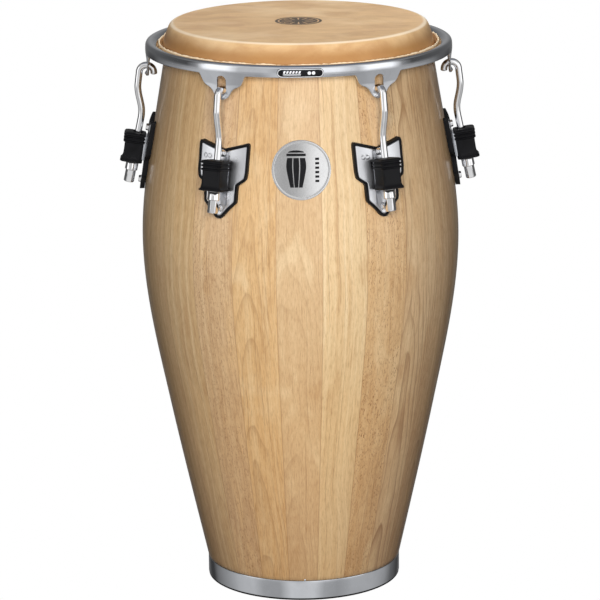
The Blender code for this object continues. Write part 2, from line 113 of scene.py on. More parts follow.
# Radius from the drum's axis, and growth of the slot there.
SLOT_FLARE = (
    (0.1780, 0.0006), (0.1854, 0.0006), (0.1860, 0.0), (0.1876, 0.0), (0.1884, 0.0006), (0.1960, 0.0009),
)
# The crest's outside, from the inner lip to the top of the outer face, and its underside, as (radius, height).
CREST = (
    (0.1749, 0.6839), (0.1747, 0.6848), (0.1754, 0.6861), (0.1772, 0.6874), (0.1800, 0.6889), (0.1830, 0.6896),
    (0.1856, 0.6895), (0.1874, 0.6886), (0.1885, 0.6872), (0.1892, 0.6848), (0.1894, 0.6810),
)
CREST_UNDER = ((0.1845, 0.6838), (0.1800, 0.6838), (0.1770, 0.6838))

# Lugs. Places and paths are (radius, height) points; heights along the leg are from the hook's point.
LUG_AZIMUTHS = tuple(math.radians(30 + 60 * i) for i in range(6))
HOOK_TILT = math.radians(12)
HOOK_POINT = (0.200, 0.575)
ROD_RADIUS = 0.00425
CURL_CENTRE = (0.1884, 0.6490)
CURL_RADIUS = 0.0090
TIP_LENGTH = 0.0010
HOOK_BEND = (
    (0.1986, 0.6400), (0.1995, 0.6310), (0.1987, 0.6220), (0.1968, 0.6125), (0.1955, 0.6045), (0.1956, 0.5970),
)
LEG_START = 0.018
HOOK_END = -0.054
NUT_TOP = -0.0360
NUT_COLLAR_END = -0.0496
NUT_BOTTOM = -0.0649
NUT_COLLAR_RADIUS = 0.0078
NUT_FLAT = 0.00575
BORE_RADIUS = 0.0049
SLEEVE_TILT = math.radians(9)
SLEEVE_CENTRE = (0.2066, 0.5570)
SLEEVE_HALF = (0.0136, 0.0125)
SLEEVE_CORNER = 0.0042
ARM_HALF = (0.0084, 0.0080, 0.0158)
ARM_CHAMFER = 0.0006
ARM_ROOT_RADIUS = 0.1905
ARM_BORE = (0.0052, 0.05)
# Height from the sleeve's middle, growth of the section, reach of the back towards the plate.
SLEEVE_LEVELS = (
    (-0.0190, -0.0020, 0.0), (-0.0190, 0.0008, 0.0008), (-0.0185, 0.0016, 0.0010),
    (-0.0174, 0.0016, 0.0010), (-0.0162, 0.0006, 0.0006), (-0.0148, -0.0005, 0.0004),
    (-0.0122, -0.0011, 0.0002), (-0.0060, -0.0014, 0.0002), (0.0010, -0.0014, 0.0002),
    (0.0050, -0.0013, 0.0002), (0.0057, 0.0001, 0.0012), (0.0067, 0.0006, 0.0014),
    (0.0076, 0.0001, 0.0012), (0.0082, -0.0014, 0.0002), (0.0094, -0.0014, 0.0002),
    (0.0100, 0.0002, 0.0012), (0.0110, 0.0007, 0.0014), (0.0119, 0.0002, 0.0012),
    (0.0125, -0.0013, 0.0002), (0.0135, -0.0013, 0.0002), (0.0141, 0.0003, 0.0012),
    (0.0151, 0.0009, 0.0014), (0.0163, 0.0006, 0.0012), (0.0173, -0.0004, 0.0006),
    (0.0178, -0.0020, -0.0006),
)
# The hole through the sleeve, from its top: (radius, height along the leg).
SLEEVE_WELLS = (
    (0.0070, -0.0006), (0.0057, -0.0018), (0.0053, -0.0080),
    (0.0053, -0.0330), (0.0084, -0.0332), (0.0085, -0.0380),
)

# Side plate and gasket. The outline is its right half, as (distance from the middle, height above the tip).
PLATE_TIP = 0.5025
PLATE_OUTLINE = (
    (0.0035, 0.0), (0.0118, 0.0100), (0.0216, 0.0192), (0.0221, 0.0400), (0.0320, 0.0470),
    (0.0333, 0.0560), (0.0334, 0.0877), (0.0322, 0.0912), (0.0, 0.0820),
)
PLATE_MARGIN = 0.0031
PLATE_CORNER = 0.0014
PLATE_BACK = 0.0036
PLATE_FRONT = 0.0060
GASKET_CORNER = 0.0016
GASKET_BACK = 0.0003
GASKET_FRONT = 0.0033
BORDER_GAP = 0.0004
BORDER_RISE = 0.0003
PLATE_RINGS = ((-0.0222, 0.5755), (-0.0165, 0.5755))
PLATE_RING_RADIUS = 0.0022
BOLT_HEIGHTS = {"upper": 0.579, "lower": 0.514}
BOLT_SEAT = PLATE_FRONT - 0.0004
BOLT_FLAT = 0.0038
# A bolt's levels: (radius, height) and, where a hexagon trims the round, the distance of its flats.
BOLT_SHANK = ((0.0026, -0.0155), (0.0030, -0.0150))
BOLT_HEAD = (
    (0.0030, 0.0), (0.0046, 0.0), (0.0048, 0.0002), (0.0048, 0.0007), (0.0046, 0.0009),
    (0.0044, 0.0009, BOLT_FLAT), (0.0044, 0.0026, BOLT_FLAT), (0.0040, 0.0031, BOLT_FLAT),
    (0.0033, 0.0034, BOLT_FLAT), (0.0014, 0.0034), (0.0011, 0.0026),
)

# Badges.
BADGE_RADIUS = 0.0355
BADGE_HEIGHT = 0.563
BADGE_BACK = 0.0003
BADGE_THICKNESS = 0.0014
BADGE_DISH = 0.0005
MARK_THICKNESS = 0.0004
RIM_BADGE_HALF = (0.0280, 0.0056)
RIM_BADGE_HEIGHT = 0.6812
RIM_BADGE_RADIUS = 0.1898
RIM_MARK_LIFTS = (0.0007, 0.0010)
RIM_LINE = 0.0007

# Wood. The staves' looks go round the shell twice, from the one at the front towards +X: their tints, and then
# how streaky, how pored, and how strongly figured they are.
WOOD_SEED = 17.0
STAVE_TINTS = (
    (0.610, 0.405, 0.212), (0.700, 0.500, 0.270), (0.615, 0.390, 0.188), (0.630, 0.425, 0.228),
    (0.560, 0.355, 0.180), (0.540, 0.345, 0.172), (0.580, 0.375, 0.185), (0.570, 0.365, 0.175),
    (0.600, 0.395, 0.190), (0.600, 0.390, 0.205), (0.650, 0.410, 0.190),
)
STAVE_LOOKS = (
    (0.25, 0.20, 0.30), (1.00, 0.12, 0.10), (0.35, 1.00, 0.05), (0.30, 0.20, 1.00), (0.50, 0.30, 0.60),
    (0.40, 0.30, 0.30), (0.50, 0.20, 0.20), (0.60, 0.25, 0.15), (0.60, 0.15, 0.20), (0.55, 0.75, 0.25),
    (0.45, 0.15, 0.45),
)
WOOD_PALE = (0.770, 0.580, 0.340)
WOOD_WARM = (0.660, 0.380, 0.150)
WOOD_DEEP = (0.470, 0.260, 0.105)
WOOD_DARK = (0.270, 0.125, 0.040)
# Painted shade: a tone multiplied into the wood by height up the shell, darker and warmer toward the foot,
# darker and a little cooler near the top.
WOOD_PAINTED_SHADE = (
    (0.00, (0.800, 0.720, 0.630)),
    (0.10, (0.920, 0.855, 0.790)),
    (0.24, (0.985, 0.935, 0.865)),
    (0.36, (1.000, 1.000, 1.000)),
    (0.46, (0.980, 1.000, 1.040)),
    (0.62, (0.905, 0.905, 0.930)),
)

# Hide.
HIDE_TANS = ((0.510, 0.300, 0.140), (0.690, 0.465, 0.245))
HIDE_PALE = (0.780, 0.575, 0.345)
HIDE_ROSY = (0.590, 0.365, 0.205)
HIDE_SIDES = ((0.300, 0.135, 0.040), (0.420, 0.225, 0.082))
# Painted highlight along the shoulder's ridge.
HIDE_PAINTED_HIGHLIGHT = (0.900, 0.800, 0.640)
HIDE_PORE = (0.420, 0.250, 0.120)
HIDE_FLECK = (0.260, 0.130, 0.050)
# Painted shade on the head's left and painted light on its right: factors for the hide's colour.
HIDE_PAINTED_SHADE_LEFT = (0.88, 0.86, 0.83)
HIDE_PAINTED_LIGHT_RIGHT = (1.12, 1.13, 1.12)
INK = (0.018, 0.014, 0.012)
EDGE_TANS = ((0.560, 0.330, 0.150), (0.700, 0.470, 0.250))
EDGE_PALE = (0.900, 0.740, 0.520)
EDGE_FIBRE = (0.380, 0.210, 0.090)

# Camera and light. Lights are (name, place, target, size, watts).
AIM = Vector((-0.0016, 0.0, 0.3559))
CAMERA_DISTANCE = 4.417
CAMERA_AZIMUTH = math.radians(-0.49)
CAMERA_ELEVATION = math.radians(14.36)
CAMERA_ROLL = math.radians(0.59)
LENS = 210.8
FLOOR_HALF = 40
LIGHTS = (
    ("key", (0, -2.6, 1.25), (0, 0, 0.4), (1.4, 1.0), 95),
    ("back", (0, 2.8, 1.25), (0, 0, 0.4), (1.4, 1.0), 70),
    ("left", (-2.6, 1.7, 1.2), (0, 0, 0.4), (1.2, 1.2), 8),
    ("right", (2.6, 1.7, 1.2), (0, 0, 0.4), (1.2, 1.2), 8),
    ("top", (0, 0.35, 3.0), (0, 0, 0.7), (1.6, 1.6), 39),
)
WORLD_AMBIENT = 0.025
WORLD_BELOW = (0.30, 0.29, 0.28)
WORLD_ABOVE = (0.20, 0.21, 0.24)
# Brightness round the studio, as (azimuth in degrees, value): below, at and above the horizon.
WORLD_LOW = (
    (-180, 0.20), (-166, 0.14), (-150, 0.05), (-140, 0.05), (-128, 0.18), (-100, 0.36), (-84, 0.52),
    (-64, 0.56), (-50, 0.40), (-30, 0.38), (-16, 0.68), (12, 0.68), (24, 0.42), (40, 0.36), (58, 0.46),
    (90, 0.46), (112, 0.34), (128, 0.14), (150, 0.05), (166, 0.14), (180, 0.20),
)
WORLD_LEVEL = (
    (-180, 0.30), (-160, 0.14), (-125, 0.10), (-92, 0.08), (-82, 0.30), (-74, 1.35), (-56, 1.35), (-46, 0.60),
    (-24, 0.62), (-10, 0.40), (0, 0.52), (10, 1.15), (26, 1.20), (44, 0.65), (52, 1.35), (72, 1.35), (82, 0.30),
    (92, 0.08), (125, 0.10), (160, 0.14), (180, 0.30),
)
WORLD_HIGH = (
    (-180, 0.10), (-130, 0.14), (-100, 0.22), (-60, 0.60), (-30, 0.70), (0, 0.90), (30, 0.75), (60, 0.60),
    (100, 0.26), (130, 0.16), (180, 0.10),
)

SHADING_ANGLE = 35.0
PLATE_SHADING = 50.0
SKIN_SHADING = 60.0
ROUND_STEPS = 288
LOOP_STEP = 0.0006
LUG_TURNS = [Matrix.Rotation(azimuth, 4, "Z") for azimuth in LUG_AZIMUTHS]


# Shapes shared by several pieces.


def shell_radius(height):
    """Outside radius of the shell at a height, or at each of an array of heights."""
    z = np.asarray(height, float)
    knots = np.array(SHELL_KNOTS)
    index = np.clip(np.searchsorted(knots[:, 0], z, side="right") - 1, 0, len(knots) - 2)
    low = knots[index]
    high = knots[index + 1]
    span = high[..., 0] - low[..., 0]
    u = (z - low[..., 0]) / span
    return (
        (2 * u**3 - 3 * u**2 + 1) * low[..., 1]
        + (u**3 - 2 * u**2 + u) * span * low[..., 2]
        + (3 * u**2 - 2 * u**3) * high[..., 1]
        + (u**3 - u**2) * span * high[..., 2]
    )


def shell_tilt(height):
    """Angle by which the shell's surface leans in at a height."""
    step = 0.001
    return math.atan2(shell_radius(height - step) - shell_radius(height + step), 2 * step)


def spot(radius, azimuth, height):
    """A point at an azimuth, which goes from the front towards +X."""
    return Vector((radius * math.sin(azimuth), -radius * math.cos(azimuth), height))


def on_shell(across, height, lift):
    """A point near the front of the shell: so far from the middle, so high, and so far off the surface."""
    radius = float(shell_radius(height))
    return spot(radius + lift, across / radius, height)


def on_rim(across, height, lift):
    """The same on the cylinder that the rim's label is bent to."""
    return spot(RIM_BADGE_RADIUS + lift, across / RIM_BADGE_RADIUS, height)


def lug_frame(radius, height, tilt):
    """A frame on the front's middle plane: local Z leans in by the tilt, and local -Y points out."""
    return Matrix.Translation((0, -radius, height)) @ Matrix.Rotation(-tilt, 4, "X")


def bolt_frame(height):
    """Frame on the shell whose local Z points straight out of its surface."""
    tilt = shell_tilt(height)
    return lug_frame(float(shell_radius(height)), height, tilt) @ Matrix.Rotation(math.pi / 2, 4, "X")


LEG = lug_frame(*HOOK_POINT, HOOK_TILT)
SLEEVE = lug_frame(*SLEEVE_CENTRE, SLEEVE_TILT)


def smoothstep(low, high, value):
    u = np.clip((value - low) / (high - low), 0, 1)
    return u * u * (3 - 2 * u)


def angles_of(count):
    """Evenly spaced angles of a full turn."""
    return [2 * math.pi * i / count for i in range(count)]


def circle(place, count, radius, height, flat=None):
    """Points round a frame's Z axis. With flat, they are trimmed by a hexagon whose flats lie that far out."""
    ring = []
    for a in angles_of(count):
        side = (a + math.pi / 6) % (math.pi / 3) - math.pi / 6
        reach = min(radius, flat / math.cos(side)) if flat else radius
        ring.append(place @ Vector((reach * math.cos(a), reach * math.sin(a), height)))
    return ring


def arc(centre, radii, start, end, steps):
    """Points of an elliptical arc, with its angles in degrees."""
    angles = np.radians(np.linspace(start, end, steps + 1))
    return [(centre[0] + radii[0] * math.cos(a), centre[1] + radii[1] * math.sin(a)) for a in angles]


def smooth_path(points, steps):
    """Points of a Catmull-Rom curve through the given points, in the plane or in space."""
    points = [Vector(p) for p in points]
    padded = [2 * points[0] - points[1], *points, 2 * points[-1] - points[-2]]
    path = []
    for a, b, c, d in zip(padded, padded[1:], padded[2:], padded[3:]):
        for i in range(steps):
            u = i / steps
            square = 2 * a - 5 * b + 4 * c - d
            cube = 3 * b - a - 3 * c + d
            path.append((2 * b + (c - a) * u + square * u**2 + cube * u**3) / 2)
    return path + [points[-1]]


def rounded_loop(points, radius, spacing):
    """A closed outline sampled evenly, with its corners rounded."""
    points = np.array([tuple(p) for p in points], float)
    closed = np.vstack([points, points[:1]])
    along = np.concatenate([[0], np.cumsum(np.linalg.norm(np.diff(closed, axis=0), axis=1))])
    count = int(along[-1] / spacing)
    at = np.linspace(0, along[-1], count, endpoint=False)
    loop = np.stack([np.interp(at, along, closed[:, k]) for k in (0, 1)], axis=1)
    reach = max(1, round(radius / spacing))
    for _ in range(2):
        loop = sum(np.roll(loop, shift, axis=0) for shift in range(-reach, reach + 1)) / (2 * reach + 1)
    return loop


def inset(loop, distance):
    """A closed loop, counter-clockwise, moved in by a distance."""
    along = np.roll(loop, -1, axis=0) - np.roll(loop, 1, axis=0)
    along /= np.linalg.norm(along, axis=1)[:, None]
    return loop + distance * np.stack([-along[:, 1], along[:, 0]], axis=1)


def mitred(points, distance):
    """The corners of a counter-clockwise outline whose sides have all moved in by a distance."""
    points = np.array([tuple(p) for p in points], float)
    along = np.roll(points, -1, axis=0) - points
    along /= np.linalg.norm(along, axis=1)[:, None]
    normals = np.stack([-along[:, 1], along[:, 0]], axis=1)
    before = np.roll(normals, 1, axis=0)
    shares = 1 + (normals * before).sum(axis=1)
    return points + distance * (normals + before) / shares[:, None]


def inside(points, loop):
    """Which points lie inside a closed loop."""
    x, y = points[:, 0][:, None], points[:, 1][:, None]
    x0, y0 = loop[:, 0][None], loop[:, 1][None]
    x1, y1 = np.roll(loop, -1, axis=0)[:, 0][None], np.roll(loop, -1, axis=0)[:, 1][None]
    crosses = (y0 > y) != (y1 > y)
    rise = np.where(y1 == y0, 1, y1 - y0)
    return (crosses & (x < x0 + (y - y0) * (x1 - x0) / rise)).sum(axis=1) % 2 == 1


# Mesh builders.


def linked(name, data):
    """A new object in the scene."""
    obj = bpy.data.objects.new(name, data)
    bpy.context.scene.collection.objects.link(obj)
    return obj


def new_object(name, verts, faces, sharp=SHADING_ANGLE):
    mesh = bpy.data.meshes.new(name)
    mesh.from_pydata([tuple(v) for v in verts], [], faces)
    return finished_object(name, mesh, sharp)


def finished_object(name, mesh, sharp=SHADING_ANGLE):
    """Cleans a mesh, shades it smooth with sharp edges above an angle, and links it as an object."""
    bm = bmesh.new()
    bm.from_mesh(mesh)
    bmesh.ops.remove_doubles(bm, verts=bm.verts, dist=1e-7)
    bmesh.ops.dissolve_degenerate(bm, edges=bm.edges, dist=1e-7)
    bmesh.ops.recalc_face_normals(bm, faces=bm.faces)
    bm.to_mesh(mesh)
    bm.free()
    mesh.shade_smooth()
    mesh.set_sharp_from_angle(angle=math.radians(sharp))
    return linked(name, mesh)


def joined(name, parts):
    """One object from several, which are removed."""
    bm = bmesh.new()
    for part in parts:
        bm.from_mesh(part.data)
        bpy.data.objects.remove(part, do_unlink=True)
    mesh = bpy.data.meshes.new(name)
    bm.to_mesh(mesh)
    bm.free()
    return finished_object(name, mesh)


def strip_faces(first, second, count):
    """Quads between two rounds of points, given the number of each round's first point."""
    return [(first + i, first + (i + 1) % count, second + (i + 1) % count, second + i) for i in range(count)]


def grid_faces(rows, columns, closed):
    """Quads between rounds of points. When closed, the last round joins the first."""
    starts = [row * columns for row in range(rows)]
    following = starts[1:] + starts[:1] if closed else starts[1:]
    return [face for pair in zip(starts, following) for face in strip_faces(*pair, columns)]


def turned(name, section, sharp=SHADING_ANGLE):
    """Turns a closed section of (radius, height) points about the Z axis."""
    rings = [[spot(r, a, z) for r, z in section] for a in angles_of(ROUND_STEPS)]
    return loft(name, rings, capped=False, sharp=sharp)


def loft(name, rings, capped=True, sharp=SHADING_ANGLE):
    """Skins rings of equally many points. Its two ends are closed, or else joined to each other."""
    count = len(rings[0])
    faces = grid_faces(len(rings), count, not capped)
    if capped:
        faces.append(tuple(range(count)))
        faces.append(tuple((len(rings) - 1) * count + i for i in range(count)))
    return new_object(name, [p for ring in rings for p in ring], faces, sharp)


def filled(outline, holes, spacing):
    """Points and triangles that fill an outline around its holes. The loops' own points come first."""
    loops = [outline, *holes]
    points = [tuple(p) for loop in loops for p in loop]
    edges = []
    first = 0
    for loop in loops:
        edges += [(first + i, first + (i + 1) % len(loop)) for i in range(len(loop))]
        first += len(loop)
    low, high = outline.min(axis=0), outline.max(axis=0)
    columns = np.arange(low[0] + spacing / 2, high[0], spacing)
    rows = np.arange(low[1] + spacing / 2, high[1], spacing)
    inner = np.array([(x, y) for x in columns for y in rows])
    keep = inside(inner, inset(outline, spacing * 0.6))
    for hole in holes:
        keep &= ~inside(inner, inset(hole, -spacing * 0.6))
    points += [tuple(p) for p in inner[keep]]
    found = geometry.delaunay_2d_cdt([Vector(p) for p in points], edges, [], 1, 1e-8)
    verts, faces, origins = found[0], found[2], found[3]
    index = {new: old[0] for new, old in enumerate(origins)}
    corners = np.array([[verts[v] for v in face] for face in faces])
    middle = corners.mean(axis=1)
    wanted = inside(middle, outline)
    for hole in holes:
        wanted &= ~inside(middle, hole)
    return points, [tuple(index[v] for v in face) for face, good in zip(faces, wanted) if good]


def cut_plate(name, outline, place, levels, relief=None, spacing=0.0015, sharp=SHADING_ANGLE, hole=None):
    """A plate of any outline, laid on a surface.

    place(across, height, lift) gives a point in space. levels are (inset, lift) pairs from the back face, over
    the rounded edge, to the front face, and relief(across, height) is added to the front face's lift.
    """
    sides = [(outline, 1)] if hole is None else [(outline, 1), (hole, -1)]
    verts = []
    faces = []
    starts = []
    for loop, side in sides:
        rims = []
        for inward, lift in levels:
            rims.append(len(verts))
            verts += [place(x, z, lift) for x, z in inset(loop, side * inward)]
        for pair in zip(rims, rims[1:]):
            faces += strip_faces(*pair, len(loop))
        starts.append(rims)
    for level, shaped in ((0, None), (-1, relief)):
        inward, lift = levels[level]
        edges = [inset(loop, side * inward) for loop, side in sides]
        points, triangles = filled(edges[0], edges[1:], spacing)
        numbers = [rims[level] + i for rims, edge in zip(starts, edges) for i in range(len(edge))]
        inner = points[len(numbers) :]
        numbers += range(len(verts), len(verts) + len(inner))
        verts += [place(x, z, lift + (shaped(x, z) if shaped else 0)) for x, z in inner]
        faces += [tuple(numbers[v] for v in face) for face in triangles]
    return new_object(name, verts, faces, sharp)


def eased(back, front, reach):
    """A plate's levels from its back to its front face, with the front edge rounded over a distance."""
    return ((0.0, back), (0.0, front - reach), (0.3 * reach, front - 0.3 * reach), (reach, front))


def rod(name, path, radius, sides=32):
    """A round rod along a path in the plane X = 0, with its first end domed and its last end chamfered."""
    path = [Vector(p) for p in path]
    across = Vector((1, 0, 0))
    tangents = [(b - a).normalized() for a, b in zip(path, path[1:])]
    tangents = [tangents[0]] + [(a + b).normalized() for a, b in zip(tangents, tangents[1:])] + [tangents[-1]]
    stations = []
    for step in range(1, 7):
        angle = math.pi / 2 * step / 6
        back = -tangents[0] * radius * 0.45 * math.cos(angle)
        stations.append((path[0] + back, tangents[0], radius * math.sin(angle)))
    stations += [(p, t, radius) for p, t in zip(path[1:-1], tangents[1:-1])]
    stations.append((path[-1] - tangents[-1] * 0.0008, tangents[-1], radius))
    stations.append((path[-1], tangents[-1], radius - 0.0008))
    rings = []
    for centre, tangent, reach in stations:
        up = tangent.cross(across)
        angles = (2 * math.pi * i / sides for i in range(sides))
        rings.append([centre + reach * (math.cos(a) * across + math.sin(a) * up) for a in angles])
    return loft(name, rings)


def subtract(obj, cutters):
    """Cuts other objects out of one, and removes them."""
    for cutter in cutters:
        modifier = obj.modifiers.new("cut", "BOOLEAN")
        modifier.object = cutter
        modifier.operation = "DIFFERENCE"
        modifier.solver = "EXACT"
    bpy.context.view_layer.update()
    evaluated = obj.evaluated_get(bpy.context.evaluated_depsgraph_get())
    mesh = bpy.data.meshes.new_from_object(evaluated)
    name = obj.name
    for used in [obj, *cutters]:
        bpy.data.objects.remove(used, do_unlink=True)
    return finished_object(name, mesh)


# Handing pieces over to the frame.


def give(obj, body, material, slot, *nodes):
    """Dresses a piece, lets it ride on a body and stand for CAD nodes."""
    obj.data.materials.clear()
    obj.data.materials.append(material)
    if body:
        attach(obj, body)
    if nodes:
        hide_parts(*nodes)
    return obj


def six_copies(first, bodies, material, slot, node=None):
    """Makes a piece at each lug from the one built at azimuth 0. bodies is one name, or one per lug."""
    name = first.name
    mesh = first.data
    bpy.data.objects.remove(first, do_unlink=True)
    for number, turn in enumerate(LUG_TURNS, start=1):
        copy = linked(f"{name}_{number}", mesh)
        copy.matrix_world = turn
        nodes = [f"{node}_{number}"] if node else []
        give(copy, bodies.format(number), material, slot, *nodes)


# Materials.


class Value:
    """A node's output. Arithmetic on it adds Math nodes."""

    def __init__(self, nodes, socket):
        self.nodes = nodes
        self.socket = socket

    def other(self, output):
        """Another output of the same node."""
        return Value(self.nodes, self.socket.node.outputs[output])

    def __add__(self, value):
        return self.nodes.math("ADD", self, value)

    def __sub__(self, value):
        return self.nodes.math("SUBTRACT", self, value)

    def __rsub__(self, value):
        return self.nodes.math("SUBTRACT", value, self)

    def __mul__(self, value):
        return self.nodes.math("MULTIPLY", self, value)

    def __truediv__(self, value):
        return self.nodes.math("DIVIDE", self, value)

    def __lt__(self, value):
        return self.nodes.math("LESS_THAN", self, value)

    def __gt__(self, value):
        return self.nodes.math("GREATER_THAN", self, value)


class Nodes:
    """A node tree under construction, with short calls for the nodes used here."""

    def __init__(self, tree):
        self.tree = tree

    def node(self, kind, inputs, output=0, **settings):
        """Adds a node and gives one of its outputs. Inputs go by name or number, as numbers or Values."""
        made = self.tree.nodes.new("ShaderNode" + kind)
        for key, setting in settings.items():
            setattr(made, key, setting)
        for key, value in inputs.items():
            if isinstance(value, Value):
                self.tree.links.new(value.socket, made.inputs[key])
            else:
                made.inputs[key].default_value = value
        return Value(self, made.outputs[output])

    def math(self, operation, a, b=0.0, c=0.0):
        return self.node("Math", {0: a, 1: b, 2: c}, operation=operation)

    def separate(self, vector):
        x = self.node("SeparateXYZ", {0: vector})
        return x, x.other(1), x.other(2)

    def combine(self, x, y, z):
        return self.node("CombineXYZ", {0: x, 1: y, 2: z})

    def scaled(self, vector, scale):
        """A vector with each part multiplied."""
        return self.node("VectorMath", {0: vector, 1: scale}, operation="MULTIPLY")

    def azimuth(self, x, y):
        """The angle from -Y towards +X."""
        return self.math("ARCTAN2", x, y * -1.0)

    def distance(self, x, y):
        return self.math("SQRT", x * x + y * y)

    def noise(self, vector, scale, detail=3.0, roughness=0.5, distortion=0.0):
        """Noise at one scale, or at one for each axis."""
        if isinstance(scale, tuple):
            vector, scale = self.scaled(vector, scale), 1.0
        inputs = {"Vector": vector, "Scale": scale, "Detail": detail}
        inputs |= {"Roughness": roughness, "Distortion": distortion}
        return self.node("TexNoise", inputs, "Fac")

    def random(self, value):
        """A number from 0 to 1 that is hashed from another."""
        return self.node("TexWhiteNoise", {"W": value}, "Value", noise_dimensions="1D")

    def range(self, value, low, high, to_low=0.0, to_high=1.0, smooth=False):
        """Maps low..high to to_low..to_high, with both ends clamped."""
        inputs = {0: value, 1: low, 2: high, 3: to_low, 4: to_high}
        kind = "SMOOTHSTEP" if smooth else "LINEAR"
        return self.node("MapRange", inputs, interpolation_type=kind)

    def mix(self, factor, a, b, blend="MIX"):
        return self.node("Mix", {0: factor, 6: opaque(a), 7: opaque(b)}, 2, data_type="RGBA", blend_type=blend)

    def ramp(self, value, stops, interpolation="LINEAR"):
        made = self.node("ValToRGB", {0: value})
        ramp = made.socket.node.color_ramp
        ramp.interpolation = interpolation
        while len(ramp.elements) > 1:
            ramp.elements.remove(ramp.elements[-1])
        ramp.elements[0].position = stops[0][0]
        ramp.elements[0].color = opaque(stops[0][1])
        for place, colour in stops[1:]:
            ramp.elements.new(place).color = opaque(colour)
        return made

    def bump(self, height, strength, distance):
        return self.node("Bump", {"Height": height, "Strength": strength, "Distance": distance})


class Shader(Nodes):
    """A procedural material under construction, round a Principled BSDF."""

    def __init__(self, name, **settings):
        self.material = bpy.data.materials.new(name)
        self.material.use_nodes = True
        super().__init__(self.material.node_tree)
        self.sockets = self.tree.nodes["Principled BSDF"].inputs
        for name_of_socket, value in settings.items():
            self.socket(name_of_socket).default_value = value
        self.position = self.node("TexCoord", {}, "Object")

    def socket(self, name):
        return self.sockets[name.replace("_", " ").title().replace("Ior", "IOR")]

    def finished(self, **surface):
        """Links Values to the surface's sockets and gives the material."""
        for name, value in surface.items():
            self.tree.links.new(value.socket, self.socket(name))
        return self.material


def opaque(colour):
    """A colour with its alpha, from three numbers or one grey. Values stay as they are."""
    if isinstance(colour, Value):
        return colour
    return (colour, colour, colour, 1.0) if isinstance(colour, float) else (*colour, 1.0)


def wood():
    """Lacquered staves: each with its own tint, figure and pores, between thin glue lines, with painted shade
    by height.
    """
    s = Shader("lacquered_wood", coat_weight=0.5, coat_roughness=0.10, coat_ior=1.5)
    x, y, z = s.separate(s.position)
    turn = (s.azimuth(x, y) - STAVE_START) * (STAVES / (2 * math.pi))
    wander = s.noise(s.combine(0.0, 0.0, z), 2.2, 1.0)
    turn = turn + (wander - 0.5) * 0.05
    count = s.math("WRAP", s.math("FLOOR", turn), float(STAVES))
    part = s.math("FRACT", turn)
    slide = s.random(count + WOOD_SEED)
    warm = s.random(count + (WOOD_SEED + 31.7))
    which = s.math("FRACT", (count + 0.5) / len(STAVE_TINTS))
    tint = s.ramp(which, [(i / len(STAVE_TINTS), colour) for i, colour in enumerate(STAVE_TINTS)], "CONSTANT")
    looks = s.ramp(which, [(i / len(STAVE_LOOKS), look) for i, look in enumerate(STAVE_LOOKS)], "CONSTANT")
    streaky, pored, figured = s.separate(looks)
    width = s.distance(x, y) * (2 * math.pi / STAVES)
    across = (part - 0.5) * width
    along = z + slide * 5.0
    row = count * 3.17
    sway = s.noise(s.combine(across, row, along), (9.0, 1.0, 5.0), 2.0)
    across = across + (sway - 0.5) * 0.022
    place = s.combine(across, row, along)

    # Colour: the stave's own tint, clouds in it, and streaks along the grain.
    clouds = s.noise(place, (34.0, 1.0, 11.0), 3.0, 0.55, 0.8)
    base = s.mix(s.range(clouds, 0.50, 0.70, 0.0, 0.60, True), tint, s.mix(warm, WOOD_PALE, WOOD_WARM))
    base = s.mix(s.range(clouds, 0.46, 0.28, 0.0, 0.45, True), base, WOOD_DEEP)
    streak = s.noise(place, (210.0, 1.0, 2.6), 4.0, 0.65)
    base = s.mix(streaky * s.range(streak, 0.50, 0.68), base, WOOD_PALE)
    base = s.mix(streaky * s.range(streak, 0.46, 0.26, 0.0, 0.8), base, WOOD_DEEP)
    threads = s.noise(place, (520.0, 1.0, 5.0), 3.0, 0.6)
    base = s.mix(s.range(threads, 0.58, 0.74, 0.0, 0.60), base, WOOD_DARK)
    fibre = s.noise(place, (900.0, 1.0, 95.0), 3.0, 0.65)
    base = s.mix(s.range(fibre, 0.50, 0.70, 0.0, 0.38), base, WOOD_DARK)
    base = s.mix(s.range(fibre, 0.48, 0.32, 0.0, 0.30), base, WOOD_PALE)

    # Growth lines: nested arches where the stave is flat-sawn, nearly straight lines elsewhere.
    bend = s.noise(place, (15.0, 1.0, 3.6), 2.0, 0.45, 0.3)
    middle = across - (warm - 0.5) * 0.03
    saw = s.math("FRACT", middle * middle * 3400.0 + along * 9.0 + bend * 6.5)
    line = s.math("POWER", saw, 5.0) * s.range(saw, 0.95, 1.0, 1.0, 0.0)
    patchy = s.range(s.noise(place, (24.0, 1.0, 6.0), 2.0), 0.34, 0.52)
    base = s.mix(line * figured * patchy, base, WOOD_DARK)

    # Pores: short dark dashes along the grain, thick on some staves.
    specks = s.noise(place, (760.0, 1.0, 270.0), 2.0, 0.6)
    dense = s.range(s.noise(place, (60.0, 1.0, 9.0), 2.0), 0.35, 0.65, 0.4, 1.1)
    dash = s.range(specks, 0.56, 0.66) * (pored * dense)
    base = s.mix(dash * 0.80, base, WOOD_DARK)

    # Glue lines.
    beside = 0.5 - s.math("ABSOLUTE", part - 0.5)
    seam = s.range(beside * width, 0.00015, 0.00080, 1.0, 0.0)
    base = s.mix(seam * 0.45, base, WOOD_DARK)
    # Painted shade: the colour is multiplied by the tone for its height, darker toward the foot and near the
    # top.
    base = s.mix(1.0, base, s.ramp(z, WOOD_PAINTED_SHADE), "MULTIPLY")
    waves = s.noise(s.position, (30.0, 30.0, 9.0), 2.0)
    return s.finished(
        base_color=base,
        roughness=s.range(fibre, 0.3, 0.7, 0.30, 0.42),
        normal=s.bump(fibre * 0.25 - (dash * 0.6 + seam), 0.25, 0.00012),
        coat_normal=s.bump(waves, 0.12, 0.0006),
    )


